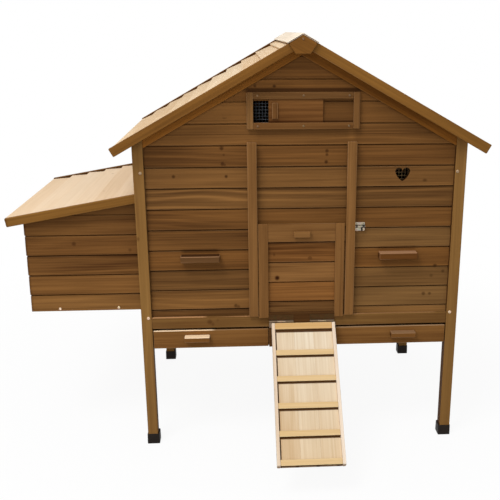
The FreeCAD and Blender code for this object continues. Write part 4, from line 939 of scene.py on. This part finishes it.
side_rails = []
for x0 in (-93.0, 97.0):
    x = np.array([x0, x0 + 10, x0 + 10, x0 + 10, x0, x0])
    above = np.array([0.0, 0.0, -6.86, -24.0, -24.0, -6.86])
    side_rails.append([ramp(x, ramp_head, above), ramp(x, ramp_end, above)])
timber("ramp_side_rails", "ramp_wood", ramp_finish, side_rails, 1.6, [0.6, 0.35], 0.1, "ramp")
deck = []
for x0 in (-83.0, -23.0, 37.0):
    x = np.array([x0, x0 + 60, x0 + 60, x0])
    above = np.array([deck_top, deck_top, -21.0, -21.0])
    deck.append([ramp(x, ramp_head, above), ramp(x, ramp_end, above)])
deck_finish = wood("pale_deck_timber", stain(234, 221, 199), stain(203, 177, 141), contrast=0.9,
                   sheen=0.65, worn=0.1)


def recoat(tree, share, colour, blend="MIX"):
    """Changes the colour of a finish by this share."""
    coat = tree.nodes["Principled BSDF"].inputs["Base Color"]
    tree.links.new(mix(tree, share, coat.links[0].from_socket, colour, blend), coat)


# On the deck the colour darkens towards the foot, and brown strips below each cleat and along the left
# rail are painted shadow.
tree = deck_finish.node_tree
spread = add(tree, "SeparateXYZ", {0: add(tree, "UVMap", uv_map="grain").outputs[0]}).outputs[0]
steps = sums(tree, "MULTIPLY_ADD", spread, 1 / (cleat_pitch * MM), 1 - first_step / cleat_pitch)
cleat_shadow = fade(tree, sums(tree, "FRACT", steps), 0.125, 0.095)
aside = add(tree, "SeparateXYZ", {0: add(tree, "TexCoord").outputs["Object"]}).outputs[0]
rail_shadow = fade(tree, aside, house[0] - 78 * MM, house[0] - 80 * MM)
recoat(tree, fade(tree, spread, 0.05, 0.45), (0.87, 0.78, 0.66, 1.0), "MULTIPLY")
recoat(tree, sums(tree, "MULTIPLY", sums(tree, "MAXIMUM", cleat_shadow, rail_shadow), 0.97), cleat_shadow_brown)
# The deck boards' lower ends are darkened further as painted shade.
timber("ramp_deck_boards", "ramp_wood", deck_finish, deck, 0.8, [0.6, 0.32, 0.44], [0.1, 0.0, 0.05],
       "ramp", end_grain_and_shade=1.6)
last_cleat, half_cleat = 452, 9
middles = [last_cleat - cleat_pitch * k for k in range(5)]
cleats = []
for upper, lower in [(ramp_head, 25.8)] + [(at - half_cleat, at + half_cleat) for at in middles]:
    down = np.array([upper, lower, lower, upper])
    above = np.array([-2.0, -2.0, deck_top, deck_top])
    cleats.append([ramp(x, down, above) for x in (-83.0, 97.0)])
# Each cleat's lower face is darkened as painted shade.
timber("ramp_cleats", "ramp_wood", cleat_finish, cleats, 1.4, [0.9, 0.62, 0.58, 0.62, 0.58, 0.62],
       [0.5, 0.1, 0.1, 0.1, 0.1, 0.1], "ramp", shade_by_side=[0.0, 1.2, 0.0, 0.0])

# Hinges: pressed steel butts with rolled knuckles round a pin, two on the ramp and two on the lid.
# The leaves are painted dark brown as painted shade, paler round the ramp's pin as a painted
# highlight, and the ramp's own leaves and the pins are painted bright as painted highlights.
leaf_steel = metal("shaded_leaf_steel", stain(60, 40, 21), stain(88, 63, 38), 0.55)
highlit_dark, highlit_bright = stain(108, 92, 74), stain(158, 140, 118)
pin_steel = metal("highlit_pin_steel", highlit_dark, highlit_bright, 0.45)
tree = leaf_steel.node_tree
ramp_pin = (0.0, house[1] + pin_y * MM, pin_z * MM)
square = vector(tree, "MULTIPLY", add(tree, "TexCoord").outputs["Object"], (0.0, 1.0, 1.0))
away = vector(tree, "DISTANCE", square, ramp_pin)
recoat(tree, fade(tree, away, 4.6 * MM, 3.8 * MM), highlit_dark)
for node, coat in (("hinge_fixed_leaves", leaf_steel), ("lid_hinge_leaves", leaf_steel),
                   ("ramp_hinge_leaves", pin_steel), ("hinge_pins", pin_steel)):
    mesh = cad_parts[node].data
    mesh.materials.clear()
    mesh.materials.append(coat)

# Screws: domed heads with a cross recess, in plated steel that is brightest low on the posts and the
# nest box, darker and yellower higher on the posts, and darker and browner on the vent frame and the
# front finial.
screw_steel = metal("yellow_screw_steel", stain(130, 106, 82), stain(184, 160, 132), 0.5)
bright_steel = metal("bright_screw_steel", stain(176, 150, 120), stain(232, 210, 182), 0.5)
brown_steel = metal("brown_screw_steel", stain(94, 74, 50), stain(144, 117, 87), 0.55)
high_screws = [(-478.0, 0.0, 894.0), (475.4, 0.0, 889.6)]
low_screws = [(-478.0, 0.0, 437.0), (478.0, 0.0, 437.0)]
vent_screws = [(6.0 + step * 135, 0.0, z) for step in (-1, 0, 1) for z in (1028.5, 1116.5)]
vent_screws.append((0.0, -56.0, ridge - 12))
nest_screw = 454.8
nest_face = nest_front - board_thick + bevel * (nest_screw - nest_joint)
nest_screws = [(x, nest_face, nest_screw) for x in (-760.0, -576.0)]
fitting("post_screws_metal", screw_steel, "screw_heads", "zinc_steel",
        screw_heads(high_screws, 5.0, 2.2))
fitting("low_screws_metal", bright_steel, "screw_heads", "zinc_steel",
        screw_heads(low_screws, 5.0, 2.2), screw_heads(nest_screws, 4.6, 2.2, bevel))
fitting("vent_screws_metal", brown_steel, "screw_heads", "zinc_steel",
        screw_heads(vent_screws, 3.4, 1.8))

# Studio: a wide pale floor that keeps the coop's shadow, a soft lamp above to the left, weaker ones
# in front and behind, and the camera at the height and angle of the picture.
span, squares = 14.0, 8
ticks = np.linspace(-span, span, squares + 1)
grid = np.stack(np.meshgrid(ticks, ticks), -1).reshape(-1, 2)
corner = (np.arange(squares)[:, None] * len(ticks) + np.arange(squares)).ravel()
quads = np.stack([corner, corner + 1, corner + len(ticks) + 1, corner + len(ticks)], 1)
ground = bpy.data.meshes.new("floor")
ground.from_pydata(np.insert(grid, 2, 0.0, 1), [], quads.tolist())
floor = bpy.data.objects.new("floor", ground)
bpy.context.scene.collection.objects.link(floor)
white = (1.0, 1.0, 1.0, 1.0)


def looked_at(tree):
    """One where the camera sees this itself or in metal and glass, nought where it only lights."""
    path = add(tree, "LightPath").outputs
    shown = sums(tree, "MAXIMUM", path["Is Glossy Ray"], path["Is Transmission Ray"])
    return sums(tree, "MAXIMUM", path["Is Camera Ray"], shown)


paper, tree, where = blank("pale_floor")
seen = looked_at(tree)
grey = mix(tree, seen, (0.42, 0.42, 0.42, 1.0), (0.9, 0.9, 0.9, 1.0))
matt = add(tree, "BsdfDiffuse", {"Color": grey}).outputs[0]
glow = add(tree, "Emission", {"Color": white, "Strength": 1.0}).outputs[0]
sockets = {0: vector(tree, "LENGTH", where), 1: 0.7, 2: 2.4, 3: 0.92, 4: 1.0}
share = add(tree, "MapRange", sockets, interpolation_type="SMOOTHSTEP").outputs[0]
both = add(tree, "MixShader", {0: sums(tree, "MULTIPLY", seen, share), 1: matt, 2: glow}).outputs[0]
add(tree, "OutputMaterial", {0: both})
ground.materials.append(paper)

sky = bpy.data.worlds.new("soft_sky")
bpy.context.scene.world = sky
sky.use_nodes = True
tree = sky.node_tree
tree.nodes.clear()
level = sums(tree, "MULTIPLY_ADD", looked_at(tree), 0.5, 0.5)
light = add(tree, "Background", {"Color": white, "Strength": level}).outputs[0]
add(tree, "OutputWorld", {0: light})


def lamp(name, place, aim, size, power):
    """A square soft lamp at a place, turned to a point."""
    made = bpy.data.lights.new(name, "AREA")
    made.size = size
    made.energy = power
    held = bpy.data.objects.new(name, made)
    bpy.context.scene.collection.objects.link(held)
    way = np.array(aim) - np.array(place)
    back = -way / np.linalg.norm(way)
    right = np.cross((0.0, 1.0, 0.0) if abs(back[2]) > 0.9 else (0.0, 0.0, 1.0), back)
    right = right / np.linalg.norm(right)
    turn = np.eye(4)
    turn[:3, :3] = np.stack([right, np.cross(back, right), back], 1)
    turn[:3, 3] = place
    held.matrix_world = Matrix(turn.tolist())


lamp("top_lamp", (-1.4, -2.0, 4.0), (0.0, 0.0, 0.7), 1.6, 95.0)
lamp("front_lamp", (-0.6, -4.3, 2.0), (0.0, 0.0, 0.7), 3.0, 62.0)
lamp("back_lamp", (1.2, 4.8, 1.6), (0.2, 0.4, 0.6), 3.0, 55.0)

view = bpy.data.cameras.new("picture_camera")
camera = bpy.data.objects.new("picture_camera", view)
bpy.context.scene.collection.objects.link(camera)
yaw, pitch, roll = 0.0644985, 0.3025083, 0.000275
level_way = np.array([math.sin(yaw), math.cos(yaw), 0.0])
level_right = np.array([math.cos(yaw), -math.sin(yaw), 0.0])
zenith = np.array([0.0, 0.0, 1.0])
way = level_way * math.cos(pitch) - zenith * math.sin(pitch)
upward = zenith * math.cos(pitch) + level_way * math.sin(pitch)
right = level_right * math.cos(roll) + upward * math.sin(roll)
upward = upward * math.cos(roll) - level_right * math.sin(roll)
turn = np.eye(4)
turn[:3, :3] = np.stack([right, upward, -way], 1)
turn[:3, 3] = np.array([-183.048, -2365.545, 1297.927]) * MM + house
camera.matrix_world = Matrix(turn.tolist())
picture, focus, centre_x, centre_y = 500, 796.366, 291.215, 278.753
view.sensor_width = 36.0
view.lens = focus * view.sensor_width / picture
view.shift_x = (picture / 2 - centre_x) / picture
view.shift_y = (centre_y - picture / 2) / picture
view.clip_start = 0.05
view.clip_end = 100.0
bpy.context.scene.camera = camera
bpy.context.scene.view_settings.view_transform = "Standard"
